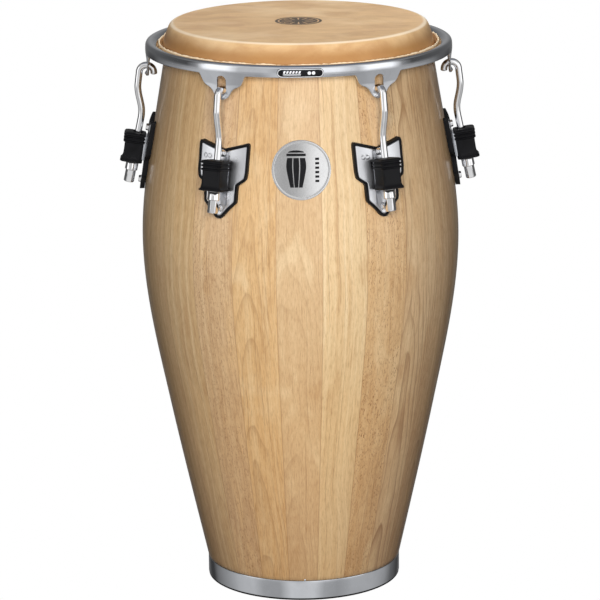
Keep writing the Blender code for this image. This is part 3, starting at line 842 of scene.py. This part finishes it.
def hide():
    """Natural skin: mottled tan, with a painted highlight along the shoulder, painted shade on its left and
    painted light on its right, pores and a printed mark.
    """
    s = Shader("hide", coat_weight=0.28, coat_roughness=0.22)
    x, y, z = s.separate(s.position)
    radius = s.distance(x, y)
    clouds = s.noise(s.position, (22.0, 40.0, 40.0), 5.0, 0.62, 0.5)
    patches = s.noise(s.position, (9.0, 13.0, 13.0), 3.0, 0.6)
    pores = s.noise(s.position, 900.0, 2.0, 0.6)
    base = s.mix(s.range(clouds, 0.32, 0.68), *HIDE_TANS)
    base = s.mix(s.range(patches, 0.50, 0.66, 0.0, 0.60), base, HIDE_PALE)
    base = s.mix(s.range(patches, 0.46, 0.28, 0.0, 0.35), base, HIDE_ROSY)
    side = s.range(z, HEAD_HEIGHT - 0.002, HEAD_HEIGHT - 0.018, 0.0, 1.0, True)
    base = s.mix(side * 0.92, base, s.mix(clouds, *HIDE_SIDES))
    # Painted highlight: a pale band is mixed in along the shoulder's ridge.
    shoulder = s.range(radius, 0.1520, 0.1560, smooth=True) * s.range(radius, 0.1590, 0.1570, smooth=True)
    base = s.mix(shoulder * 0.60, base, HIDE_PAINTED_HIGHLIGHT)
    # Painted shade and light: the colour is scaled darker toward -X and lighter toward +X.
    base = s.mix(s.range(x, -0.17, 0.17), s.scaled(base, HIDE_PAINTED_SHADE_LEFT), s.scaled(base, HIDE_PAINTED_LIGHT_RIGHT))
    base = s.mix(s.range(pores, 0.55, 0.8, 0.0, 0.18), base, HIDE_PORE)
    flecks = s.node("TexVoronoi", {"Vector": s.position, "Scale": 330.0}, "Distance", feature="F1")
    chosen = s.random(s.separate(flecks.other("Color"))[0]) < 0.09
    base = s.mix(s.range(flecks, 0.12, 0.2, 1.0, 0.0) * chosen * 0.32, base, HIDE_FLECK)

    # The printed mark: a dark disc with a pale ring and a wheel of rays, all generic.
    top = z > HEAD_HEIGHT - 0.001
    share = radius / PRINT_RADIUS
    ring = (share > 0.82) * (share < 0.88)
    spokes = s.math("ABSOLUTE", s.math("SINE", s.math("ARCTAN2", x, y) * 6.0)) < 0.34
    rays = spokes * ((share > 0.3) * (share < 0.72))
    worn = s.range(s.noise(s.position, 500.0, 3.0, 0.6), 0.26, 0.36)
    ink = ((share < 1.0) - s.math("MAXIMUM", ring, rays)) * (top * worn)
    return s.finished(
        base_color=s.mix(ink * 0.94, base, INK),
        roughness=s.range(clouds, 0.3, 0.7, 0.46, 0.58),
        normal=s.bump(pores * 0.6 + clouds * 2.0, 0.3, 0.0002),
    )


def hide_edge():
    """The rolled and cut edge of the skin: rougher and paler, with torn fibres."""
    s = Shader("hide_edge", roughness=0.6)
    height = s.separate(s.position)[2]
    fibres = s.noise(s.position, (420.0, 420.0, 160.0), 4.0, 0.65)
    blotch = s.noise(s.position, 60.0)
    base = s.mix(s.range(blotch, 0.35, 0.65), *EDGE_TANS)
    base = s.mix(s.range(height + blotch * 0.0012, 0.6868, 0.6882, smooth=True), base, EDGE_PALE)
    base = s.mix(s.range(fibres, 0.55, 0.75, 0.0, 0.5), base, EDGE_FIBRE)
    return s.finished(base_color=base, normal=s.bump(fibres, 0.7, 0.0006))


def plated(name, colour, shine, smudge, ripple):
    """Plated steel with faint smudges in its gloss and a slightly rippled surface."""
    s = Shader(name, metallic=1.0)
    cloud = s.noise(s.position, 55.0, 4.0, 0.6)
    scuff = s.noise(s.position, (700.0, 700.0, 120.0), 3.0, 0.7)
    darker = tuple(part * 0.88 for part in colour)
    return s.finished(
        base_color=s.mix(s.range(cloud, 0.4, 0.7, 0.0, 0.6), colour, darker),
        roughness=s.range(cloud, 0.35, 0.7, shine, shine + smudge) + s.range(scuff, 0.6, 0.8, 0.0, smudge),
        normal=s.bump(s.noise(s.position, 140.0, 2.0), ripple, 0.0003),
    )


def brushed():
    """Satin metal brushed straight up and down."""
    s = Shader("brushed_metal", metallic=1.0)
    lines = s.noise(s.position, (2600.0, 2600.0, 40.0), 3.0, 0.7)
    cloud = s.noise(s.position, 70.0, 2.0)
    return s.finished(
        base_color=s.ramp(lines, ((0.3, 0.70), (0.7, (0.80, 0.80, 0.81)))),
        roughness=s.range(cloud, 0.3, 0.7, 0.20, 0.27),
        normal=s.bump(lines, 0.06, 0.0001),
    )


def rubber():
    """Black rubber with a fine grain and a little dust."""
    s = Shader("black_rubber", specular_ior_level=0.18)
    grain = s.noise(s.position, 1400.0, 3.0, 0.6)
    dust = s.noise(s.position, 90.0, 4.0, 0.65)
    return s.finished(
        base_color=s.ramp(dust, ((0.35, (0.0025, 0.0025, 0.003)), (0.7, (0.006, 0.006, 0.007)))),
        roughness=s.range(dust, 0.3, 0.7, 0.32, 0.48),
        normal=s.bump(grain, 0.30, 0.0001),
    )


def enamel(name, colour, rough):
    """Printed or filled enamel with fine specks."""
    s = Shader(name, specular_ior_level=0.25)
    speck = s.noise(s.position, 1100.0, 3.0, 0.6)
    lighter = tuple(part * 1.2 + 0.002 for part in colour)
    return s.finished(
        base_color=s.mix(s.range(speck, 0.4, 0.7), colour, lighter),
        roughness=s.range(speck, 0.3, 0.7, rough, rough + 0.12),
        normal=s.bump(speck, 0.15, 0.0001),
    )


# Shell, foot and skin.


def make_shell():
    """The glued staves: a barrel with a rebate for the foot ring and a rounded bearing edge."""
    rebate = RING_RADIUS - RING_WALL - FOOT_GAP
    step = RING_TOP + FOOT_GAP
    heights = np.linspace(step + 0.0006, EDGE_HEIGHT, 150)
    outside = [(float(shell_radius(z)), float(z)) for z in heights]
    outside = [(outside[0][0] - 0.0006, step), *outside]
    edge = arc((EDGE_CENTRE, EDGE_HEIGHT), (outside[-1][0] - EDGE_CENTRE, SHELL_TOP - EDGE_HEIGHT), 0, 90, 16)
    inner = [(r - SHELL_WALL, z) for r, z in outside[-2:2:-3]]
    section = [(rebate, RING_BOTTOM), (rebate, step)] + outside[:-1] + edge
    section += [(EDGE_CENTRE - 0.003, SHELL_TOP - 0.0006), (EDGE_CENTRE - 0.0045, SHELL_TOP - 0.003)]
    section += inner + [(rebate - SHELL_WALL + 0.001, RING_BOTTOM)]
    return turned("stave_shell", section)


def lipped_ring(inner, outer, low, high, radius):
    """Section of a ring whose four edges are rounded."""
    corners = ((outer, high, 0), (inner, high, 90), (inner, low, 180), (outer, low, 270))
    section = []
    for r, z, start in corners:
        centre_r = r - radius if r == outer else r + radius
        centre_z = z - radius if z == high else z + radius
        section += arc((centre_r, centre_z), (radius, radius), start, start + 90, 5)
    return section


def make_foot():
    """The chromed band and the rubber ring that it stands on."""
    band = lipped_ring(RING_RADIUS - RING_WALL, RING_RADIUS, RING_BOTTOM, RING_TOP, FOOT_ROUNDING)
    cushion = lipped_ring(*FOOT_RADII, 0.0, FOOT_TOP, FOOT_ROUNDING)
    return turned("foot_band", band), turned("foot_cushion", cushion)


def make_pin():
    """The domed pin that holds the foot ring at the front."""
    dome = arc((0, 0), (PIN_RADIUS, PIN_RISE), 0, 80, 5)
    place = bolt_frame(PIN_HEIGHT)
    return loft("foot_pin", [circle(place, 20, *level) for level in ((PIN_RADIUS, -PIN_DEPTH), *dome)])


def make_head():
    """The skin from the middle of the playing face, over the shoulder and down to the rim."""
    across = float(shell_radius(EDGE_HEIGHT)) - EDGE_CENTRE + 0.0004
    rise = HEAD_HEIGHT - EDGE_HEIGHT - SKIN_THICKNESS
    face = [(r, HEAD_HEIGHT) for r in np.linspace(0.0, EDGE_CENTRE - 0.002, 40)]
    inner = arc((EDGE_CENTRE, EDGE_HEIGHT), (across, rise), 0, 90, 20)
    middle = (0.0, HEAD_HEIGHT - SKIN_THICKNESS)
    return turned("drum_head", [*face, *smooth_path(SHOULDER, 5), *COLLAR, *inner, middle], SKIN_SHADING)


def make_tuck():
    """The edge of the skin, lapped round its hoop, and the cut lip that stands up inside the rim."""
    rings = []
    for a in angles_of(TUCK_STEPS):
        out = spot(1.0, a, 0.0)
        wave = noise.noise(out * 5.0) * 0.0013 + noise.noise(out * 26.0) * 0.0009
        torn = noise.noise(out * 90.0) * 0.0007
        lean = noise.noise(out * 9.0 + Vector((7, 0, 0))) * 0.0005
        top = LIP_TOP + wave + torn
        middle = LIP_RADIUS + lean
        lip = (
            (0.1738 + lean * 0.5, 0.6855), (middle + 0.0008, top - 0.0010), (middle + 0.0003, top),
            (middle - 0.0006, top - 0.0002), (middle - 0.0010, top - 0.0012), (0.1708 + lean * 0.5, 0.6850),
            (0.1696, 0.6810),
        )
        rings.append([spot(r, a, z) for r, z in (*TUCK, *lip)])
    return loft("skin_tuck", rings, capped=False, sharp=SKIN_SHADING)


# Side plates and what they hold.


def lift_of_plate(x, height):
    """Relief of a side plate's face: a channel between two flat wings, and two rings pressed into one."""
    lift = -0.0007 * (1 - smoothstep(0.0078, 0.0098, abs(x)))
    for ring_x, ring_height in PLATE_RINGS:
        reach = math.hypot(x - ring_x, height - ring_height)
        lift += 0.0005 * math.exp(-(((reach - PLATE_RING_RADIUS) / 0.00055) ** 2))
    return lift


def make_plates():
    """A side plate, and its gasket: a pad with a border that stands up round the plate."""
    outline = mirrored_outline(PLATE_OUTLINE)
    gasket_loop = rounded_loop(outline, GASKET_CORNER, LOOP_STEP)
    plate_loop = rounded_loop(mitred(outline, PLATE_MARGIN), PLATE_CORNER, LOOP_STEP)
    border_loop = rounded_loop(mitred(outline, PLATE_MARGIN - BORDER_GAP), PLATE_CORNER, LOOP_STEP)
    pad_levels = eased(GASKET_BACK, GASKET_FRONT, 0.0009)
    border_levels = eased(GASKET_FRONT - 0.0012, PLATE_FRONT + BORDER_RISE, 0.0005)
    plate_levels = eased(PLATE_BACK, PLATE_FRONT, 0.0008)
    pad = cut_plate("pad", gasket_loop, on_shell, pad_levels, sharp=PLATE_SHADING)
    border = cut_plate("border", gasket_loop, on_shell, border_levels, None, 0.0012, PLATE_SHADING, border_loop)
    plate = cut_plate("lug_plate", plate_loop, on_shell, plate_levels, lift_of_plate, LOOP_STEP, PLATE_SHADING)
    return joined("plate_gasket_pad", [pad, border]), plate


def mirrored_outline(half):
    """A whole outline, counter-clockwise, from its right half, which runs from the bottom to the top."""
    left = [(-x, z) for x, z in reversed(half) if x > 0]
    return [(x, PLATE_TIP + z) for x, z in (*half, *left)]


def rounded_square(half_across, front, back, radius, count=16):
    """A rounded rectangle of (across, out) points, count of them at each corner; -Y is the front."""
    points = []
    for centre_x, centre_y, start in (
        (half_across - radius, back - radius, 0),
        (-half_across + radius, back - radius, 90),
        (-half_across + radius, -front + radius, 180),
        (half_across - radius, -front + radius, 270),
    ):
        points += arc((centre_x, centre_y), (radius, radius), start, start + 90, count - 1)
    return points


def laid(place, flat, height):
    """Points (across, out) laid across a frame at a height."""
    return [place @ Vector((x, y, height)) for x, y in flat]


def make_sleeve():
    """The rubber boot over the arm: ribs, a plain body and a skirt, with wells for the rod and the nut."""
    across, out = SLEEVE_HALF
    rings = []
    for height, growth, reach in SLEEVE_LEVELS:
        corner = SLEEVE_CORNER + max(growth, -0.0009)
        rings.append(laid(SLEEVE, rounded_square(across + growth, out + growth, out + reach, corner), height))
    rings += [circle(LEG, len(rings[0]), *level) for level in SLEEVE_WELLS]
    return loft("rubber_boot", rings, capped=False, sharp=40)


def make_arm():
    """The arm from the plate to inside the boot, with the hook's bore."""
    across, out, up = ARM_HALF
    root = SLEEVE_CENTRE[0] - ARM_ROOT_RADIUS
    rings = []
    edge = ARM_CHAMFER
    for height, inward in ((-up, edge), (-up + edge, 0), (up - edge, 0), (up, edge)):
        rings.append(laid(SLEEVE, rounded_square(across - inward, out - inward, root, 0.0016, 6), height))
    radius, reach = ARM_BORE
    bore = loft("bore", [circle(LEG, 32, radius, height) for height in (-reach, reach)])
    return subtract(loft("lug_arm", rings), [bore])


def make_bolt(name, height):
    """A bolt with a washer and a chamfered hexagonal head, whose shank goes through the shell."""
    place = bolt_frame(height)
    head = [(radius, BOLT_SEAT + lift, *flat) for radius, lift, *flat in BOLT_HEAD]
    return loft(name, [circle(place, 48, *level) for level in (*BOLT_SHANK, *head)])


# Badges.


def relief_of_badge(x, height):
    """The badge's face is dished inside a raised, rounded border."""
    share = math.hypot(x, height - BADGE_HEIGHT)
    return -BADGE_DISH * (1 - float(smoothstep(BADGE_RADIUS - 0.0030, BADGE_RADIUS - 0.0021, share)))


def make_shell_badge():
    loop = np.array(arc((0, BADGE_HEIGHT), (BADGE_RADIUS, BADGE_RADIUS), 0, 358, 179))
    front = BADGE_BACK + BADGE_THICKNESS
    levels = ((0.0, BADGE_BACK), (0.0, front - 0.0007), (0.0002, front - 0.0002), (0.0008, front))
    return cut_plate("shell_medallion", loop, on_shell, levels, relief_of_badge, 0.0010, PLATE_SHADING)


def emblem_piece(name, loops, place, back, thick, origin):
    """Thin raised shapes on a badge, all in one object. Loops are lists of points about an origin."""
    levels = ((0.0, back), (0.0, back + thick * 0.7), (0.0001, back + thick))
    parts = []
    for points in loops:
        loop = rounded_loop([(origin[0] + x, origin[1] + z) for x, z in points], 0.00018, 0.00022)
        parts.append(cut_plate("part", loop, place, levels, None, 0.0009))
    return joined(name, parts)


def oblong(left, right, low, high):
    return [(left, low), (right, low), (right, high), (left, high)]


def drum_mark(scale):
    """Loops of a little conga: three groups of staves, a band and a head, all from the shell's own profile."""
    right = [(float(shell_radius(z)), float(z)) for z in np.linspace(0.02, 0.60, 24)]
    middle = 0.36
    loops = []
    for low_share, high_share in ((-1.0, -0.40), (-0.30, 0.30), (0.40, 1.0)):
        up = [(r * high_share * scale, (z - middle) * scale) for r, z in right]
        down = [(r * low_share * scale, (z - middle) * scale) for r, z in reversed(right)]
        loops.append(up + down)
    width = float(shell_radius(0.64)) * scale
    loops.append(oblong(-width * 1.12, width * 1.12, 0.275 * scale, 0.325 * scale))
    loops.append(arc((0, 0.345 * scale), (width * 0.94, 0.045 * scale), 0, 180, 16))
    return loops


def make_emblems():
    """The little drum and the row of ticks on the badge."""
    lift = (BADGE_BACK + BADGE_THICKNESS - BADGE_DISH - 0.0001, MARK_THICKNESS)
    ticks = [oblong(0.0165, 0.0212, z - 0.0014, z + 0.0014) for z in np.linspace(-0.0130, 0.0130, 6)]
    mark = emblem_piece("medallion_mark", drum_mark(0.060), on_shell, *lift, (-0.0060, BADGE_HEIGHT))
    return mark, emblem_piece("medallion_ticks", ticks, on_shell, *lift, (0.0, BADGE_HEIGHT))


def pill(margin):
    """The rim label's outline, moved in by a margin."""
    half_width, half_height = (half - margin for half in RIM_BADGE_HALF)
    straight = half_width - half_height
    right = arc((straight, 0), (half_height, half_height), -90, 90, 24)
    left = arc((-straight, 0), (half_height, half_height), 90, 270, 24)
    return rounded_loop([(x, RIM_BADGE_HEIGHT + z) for x, z in right + left], 0.0002, LOOP_STEP)


def make_rim_badge():
    levels = ((0.0, 0.0), (0.0, 0.0005), (0.0002, 0.0007), (0.0004, 0.0008))
    return cut_plate("rim_label", pill(0.0), on_rim, levels, None, 0.0012)


def make_rim_badge_marks():
    """The pale border line and a generic row of bars and studs."""
    low, high = RIM_MARK_LIFTS
    outer = pill(RIM_LINE)
    inner = inset(outer, RIM_LINE)
    section = ((outer, low), (outer, high), (inner, high), (inner, low))
    line = loft("part", [[on_rim(x, z, lift) for x, z in loop] for loop, lift in section], capped=False)
    loops = []
    for x in -0.0205 + 0.0036 * np.arange(6):
        loops.append([(x, -0.0004), (x + 0.0022, -0.0004), (x + 0.0032, 0.0026), (x + 0.0010, 0.0026)])
    loops.append(oblong(-0.0208, 0.0005, -0.0024, -0.0014))
    loops += [arc((x, 0), (0.0021, 0.0021), 0, 345, 23) for x in (0.0105, 0.0155)]
    marks = emblem_piece("marks", loops, on_rim, low, high - low, (0.0, RIM_BADGE_HEIGHT))
    return joined("rim_label_marks", [line, marks])


# The rim.


def lower_edge(across):
    """Height of the rim's lower edge at a distance from an ear's middle."""
    dense = smooth_path([(-0.0040, 0.6452), *EAR_OUTLINE, (0.0390, 0.6790)], 8)
    ear = np.interp(np.abs(across), *np.array([tuple(p) for p in dense]).T)
    soft = 0.0012
    gap = np.clip(0.5 + 0.5 * (RIM_BOTTOM - ear) / soft, 0, 1)
    return RIM_BOTTOM * (1 - gap) + ear * gap - soft * gap * (1 - gap)


def make_rim():
    """The rim: a rolled crest, an outer face that runs on into six ears, and a slot in each ear."""
    outer_radius = EAR_RADII[1]
    fine = np.arange(-0.0380, 0.0380, 0.0006)
    coarse = np.arange(0.0390, math.pi / 6 * outer_radius, 0.0028)
    offsets = np.concatenate([-coarse[::-1], fine, coarse])
    edge = lower_edge(offsets)
    slope = np.gradient(edge, offsets)
    crest = smooth_path(CREST, 3)
    rings = []
    for azimuth in LUG_AZIMUTHS:
        for across, low, lean in zip(offsets, edge, slope):
            angle = azimuth + across / outer_radius
            section = [*crest, *ear_section(across, low, math.hypot(1, lean)), *CREST_UNDER]
            rings.append([spot(r, angle, z) for r, z in section])
    rim = loft("counter_hoop", rings, capped=False)
    return subtract(rim, [slot_cutter(turn) for turn in LUG_TURNS])


def ear_section(across, low, stretch):
    """The wall below the crest: down the outer face, round the lower edge and up the inner face."""
    inner_radius, outer_radius = EAR_RADII
    round_height = 0.0011 * stretch
    saddle = 0.0026 * math.exp(-((across / 0.0060) ** 4))

    def outer_face(z):
        flow = float(smoothstep(0.6640, 0.6790, z))
        swell = saddle * math.exp(-(((z - 0.6482) / 0.0024) ** 2))
        return outer_radius + 0.0014 * flow + swell

    def inner_face(z):
        return inner_radius - 0.0009 * float(smoothstep(0.6680, 0.6750, z))

    top = CREST[-1][1]
    start = low + round_height
    shares = np.sin(np.linspace(0, math.pi / 2, 20))[1:]
    outer = [(outer_face(z), z) for z in top + (start - top) * shares]
    middle = (outer_face(start) + inner_face(start)) / 2
    reach = (outer_face(start) - inner_face(start)) / 2
    rounded = arc((middle, start), (reach, -round_height), 0, 180, 8)
    inner = [(inner_face(z), z) for z in np.linspace(start, 0.6830, 12)[1:]]
    return outer + rounded[1:] + inner


def slot_cutter(turn):
    """A cutter for an ear's slot, which opens out a little towards the front."""
    low, high = SLOT_HEIGHTS
    half = SLOT_WIDTH / 2
    rings = []
    for radius, growth in SLOT_FLARE:
        radii = (half + growth, half + growth)
        outline = arc((0, low + half), radii, 180, 360, 18) + arc((0, high - half), radii, 0, 180, 18)
        rings.append([turn @ Vector((x, -radius, z)) for x, z in outline])
    return loft("slot", rings)


# Hooks and nuts.


def make_hook():
    """A round rod: a curl that hangs in the ear's slot, a double bend, and a leg that leans out to the nut."""
    curl = arc(CURL_CENTRE, (CURL_RADIUS, CURL_RADIUS), 180, 0, 24)
    tip = (curl[0][0], curl[0][1] - TIP_LENGTH)
    tip, *curl = [Vector((0, -radius, height)) for radius, height in (tip, *curl)]
    bend = [(0, -radius, height) for radius, height in HOOK_BEND]
    curved = smooth_path([curl[-1], *bend, LEG @ Vector((0, 0, LEG_START))], 7)
    straight = [LEG @ Vector((0, 0, z)) for z in np.linspace(LEG_START, HOOK_END, 9)]
    return rod("hook_rod", [tip, *curl[:-1], *curved[:-1], *straight], ROD_RADIUS)


def make_nut():
    """A long hexagonal nut under a round collar, chamfered at both ends and bored through."""
    corner = NUT_FLAT / math.cos(math.pi / 6) - 0.0002
    collar = NUT_COLLAR_RADIUS
    levels = (
        # the collar
        (BORE_RADIUS, NUT_TOP), (collar - 0.0006, NUT_TOP), (collar, NUT_TOP - 0.0006),
        (collar, NUT_TOP - 0.0030), (collar - 0.0002, NUT_TOP - 0.0033), (collar, NUT_TOP - 0.0036),
        (collar, NUT_COLLAR_END + 0.0008), (collar - 0.0008, NUT_COLLAR_END),
        # the hexagon
        (corner, NUT_COLLAR_END, NUT_FLAT), (corner, NUT_BOTTOM + 0.0012, NUT_FLAT),
        (corner - 0.0003, NUT_BOTTOM + 0.0006, NUT_FLAT), (NUT_FLAT - 0.0003, NUT_BOTTOM),
        # the bore
        (BORE_RADIUS + 0.0005, NUT_BOTTOM), (BORE_RADIUS, NUT_BOTTOM + 0.0006),
        (BORE_RADIUS, (NUT_BOTTOM + NUT_TOP) / 2),
    )
    return loft("hex_nut", [circle(LEG, 96, *level) for level in levels], capped=False)


# Camera, floor and light.


def make_camera():
    camera = linked("camera", bpy.data.cameras.new("camera"))
    camera.data.lens = LENS
    camera.data.sensor_width = 36.0
    level = Vector((math.sin(CAMERA_AZIMUTH), -math.cos(CAMERA_AZIMUTH), 0.0))
    back = level * math.cos(CAMERA_ELEVATION) + Vector((0.0, 0.0, math.sin(CAMERA_ELEVATION)))
    turn = (-back).to_track_quat("-Z", "Y").to_matrix().to_4x4()
    roll = Matrix.Rotation(-CAMERA_ROLL, 4, "Z")
    camera.matrix_world = Matrix.Translation(AIM + back * CAMERA_DISTANCE) @ turn @ roll
    camera.data.clip_end = 100.0
    bpy.context.scene.camera = camera


def make_floor():
    """A white floor that only the camera sees, so that it casts nothing on the drum."""
    corners = [(x * FLOOR_HALF, y * FLOOR_HALF, 0) for x, y in ((-1, -1), (1, -1), (1, 1), (-1, 1))]
    floor = new_object("floor", corners, [(0, 1, 2, 3)])
    floor.location.z = -0.0002
    material = bpy.data.materials.new("floor")
    material.use_nodes = True
    tree = material.node_tree
    tree.nodes.clear()
    glow = tree.nodes.new("ShaderNodeEmission")
    output = tree.nodes.new("ShaderNodeOutputMaterial")
    tree.links.new(glow.outputs[0], output.inputs[0])
    floor.data.materials.append(material)
    for rays in ("diffuse", "glossy", "shadow", "transmission"):
        setattr(floor, f"visible_{rays}", False)


def add_light(name, place, target, size, power):
    """A soft box, which shows neither to the camera nor in reflections."""
    data = bpy.data.lights.new(name, "AREA")
    data.shape = "RECTANGLE"
    data.size, data.size_y = size
    data.energy = power
    light = linked(name, data)
    light.location = place
    light.rotation_mode = "QUATERNION"
    light.rotation_quaternion = (Vector(target) - Vector(place)).to_track_quat("-Z", "Y")
    light.visible_camera = False
    light.visible_glossy = False


def make_world():
    """White for the camera; for reflections, a grey studio with soft boxes, as bands round the horizon."""
    world = bpy.data.worlds.new("studio")
    bpy.context.scene.world = world
    world.use_nodes = True
    world.cycles.sampling_method = "NONE"
    s = Nodes(world.node_tree)
    x, y, z = s.separate(s.node("TexCoord", {}, "Generated"))
    turn = s.range(s.azimuth(x, y), -math.pi, math.pi)
    elevation = s.range(s.math("ARCSINE", z), -math.pi / 2, math.pi / 2, -90.0, 90.0)
    bands = (WORLD_LOW, WORLD_LEVEL, WORLD_HIGH)
    low, level, high = (s.ramp(turn, [(0.5 + angle / 360, value) for angle, value in band]) for band in bands)
    seen = s.mix(s.range(elevation, -13.0, -6.0, smooth=True), low, level)
    seen = s.mix(s.range(elevation, 22.0, 34.0, smooth=True), seen, high)
    seen = s.mix(s.range(elevation, -25.0, -60.0, smooth=True), seen, WORLD_BELOW)
    seen = s.mix(s.range(elevation, 48.0, 60.0, smooth=True), seen, WORLD_ABOVE)
    camera_ray = s.node("LightPath", {}, "Is Camera Ray")
    lit = s.mix(camera_ray.other("Is Glossy Ray"), WORLD_AMBIENT, seen)
    colour = s.mix(camera_ray, lit, 1.0)
    s.tree.links.new(colour.socket, s.tree.nodes["Background"].inputs["Color"])


# Putting it together.

WOOD = wood()
HIDE = hide()
HIDE_EDGE = hide_edge()
CHROME = plated("chrome", (0.76, 0.78, 0.82), 0.05, 0.05, 0.06)
SATIN = plated("satin_chrome", (0.80, 0.81, 0.84), 0.27, 0.06, 0.08)
BRIGHT_CHROME = plated("bright_chrome", (0.97, 0.97, 0.98), 0.03, 0.03, 0.04)
ZINC = plated("zinc_steel", (0.70, 0.72, 0.75), 0.18, 0.10, 0.15)
BRUSHED = brushed()
RUBBER = rubber()
BLACK = enamel("black_enamel", (0.003, 0.003, 0.004), 0.30)
SILVER = enamel("pale_enamel", (0.72, 0.73, 0.75), 0.30)

band, cushion = make_foot()
give(make_shell(), "shell", WOOD, "lacquered_wood", "shell")
give(band, "shell", CHROME, "chrome", "foot_ring")
give(cushion, "shell", RUBBER, "black_rubber", "foot_rubber")
give(make_pin(), "shell", BRIGHT_CHROME, "chrome")
give(make_tuck(), "rim", HIDE_EDGE, "hide_edge", "skin_edge")
give(make_rim(), "rim", CHROME, "chrome", "rim")
give(make_shell_badge(), "shell", BRUSHED, "brushed_metal", "shell_badge")
for emblem in make_emblems():
    give(emblem, "shell", BLACK, "black_enamel")
give(make_rim_badge(), "rim", BLACK, "black_enamel", "rim_badge")
give(make_rim_badge_marks(), "rim", SILVER, "brushed_metal")

head = give(make_head(), None, HIDE, "hide", "drum_skin")
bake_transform(head)

gasket, plate = make_plates()
six_copies(gasket, "shell", RUBBER, "black_rubber", "plate_gasket")
six_copies(plate, "shell", SATIN, "chrome", "side_plate")
six_copies(make_arm(), "shell", CHROME, "chrome")
six_copies(make_sleeve(), "shell", RUBBER, "black_rubber", "rubber_sleeve")
for which, height in BOLT_HEIGHTS.items():
    bolt = make_bolt(f"hex_bolt_{which}", height)
    six_copies(bolt, "shell", BRIGHT_CHROME, "zinc_steel", f"plate_bolt_{which}")
six_copies(make_hook(), "hook_{}", BRIGHT_CHROME, "chrome", "tuning_hook")
six_copies(make_nut(), "nut_{}", BRIGHT_CHROME, "zinc_steel", "tuning_nut")

for name in ["flesh_hoop"] + [f"backing_plate_{i}" for i in range(1, 7)]:
    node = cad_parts[name]
    node.data.materials.clear()
    node.data.materials.append(ZINC)

make_camera()
make_floor()
make_world()
for light in LIGHTS:
    add_light(*light)
bpy.context.scene.view_settings.view_transform = "Standard"
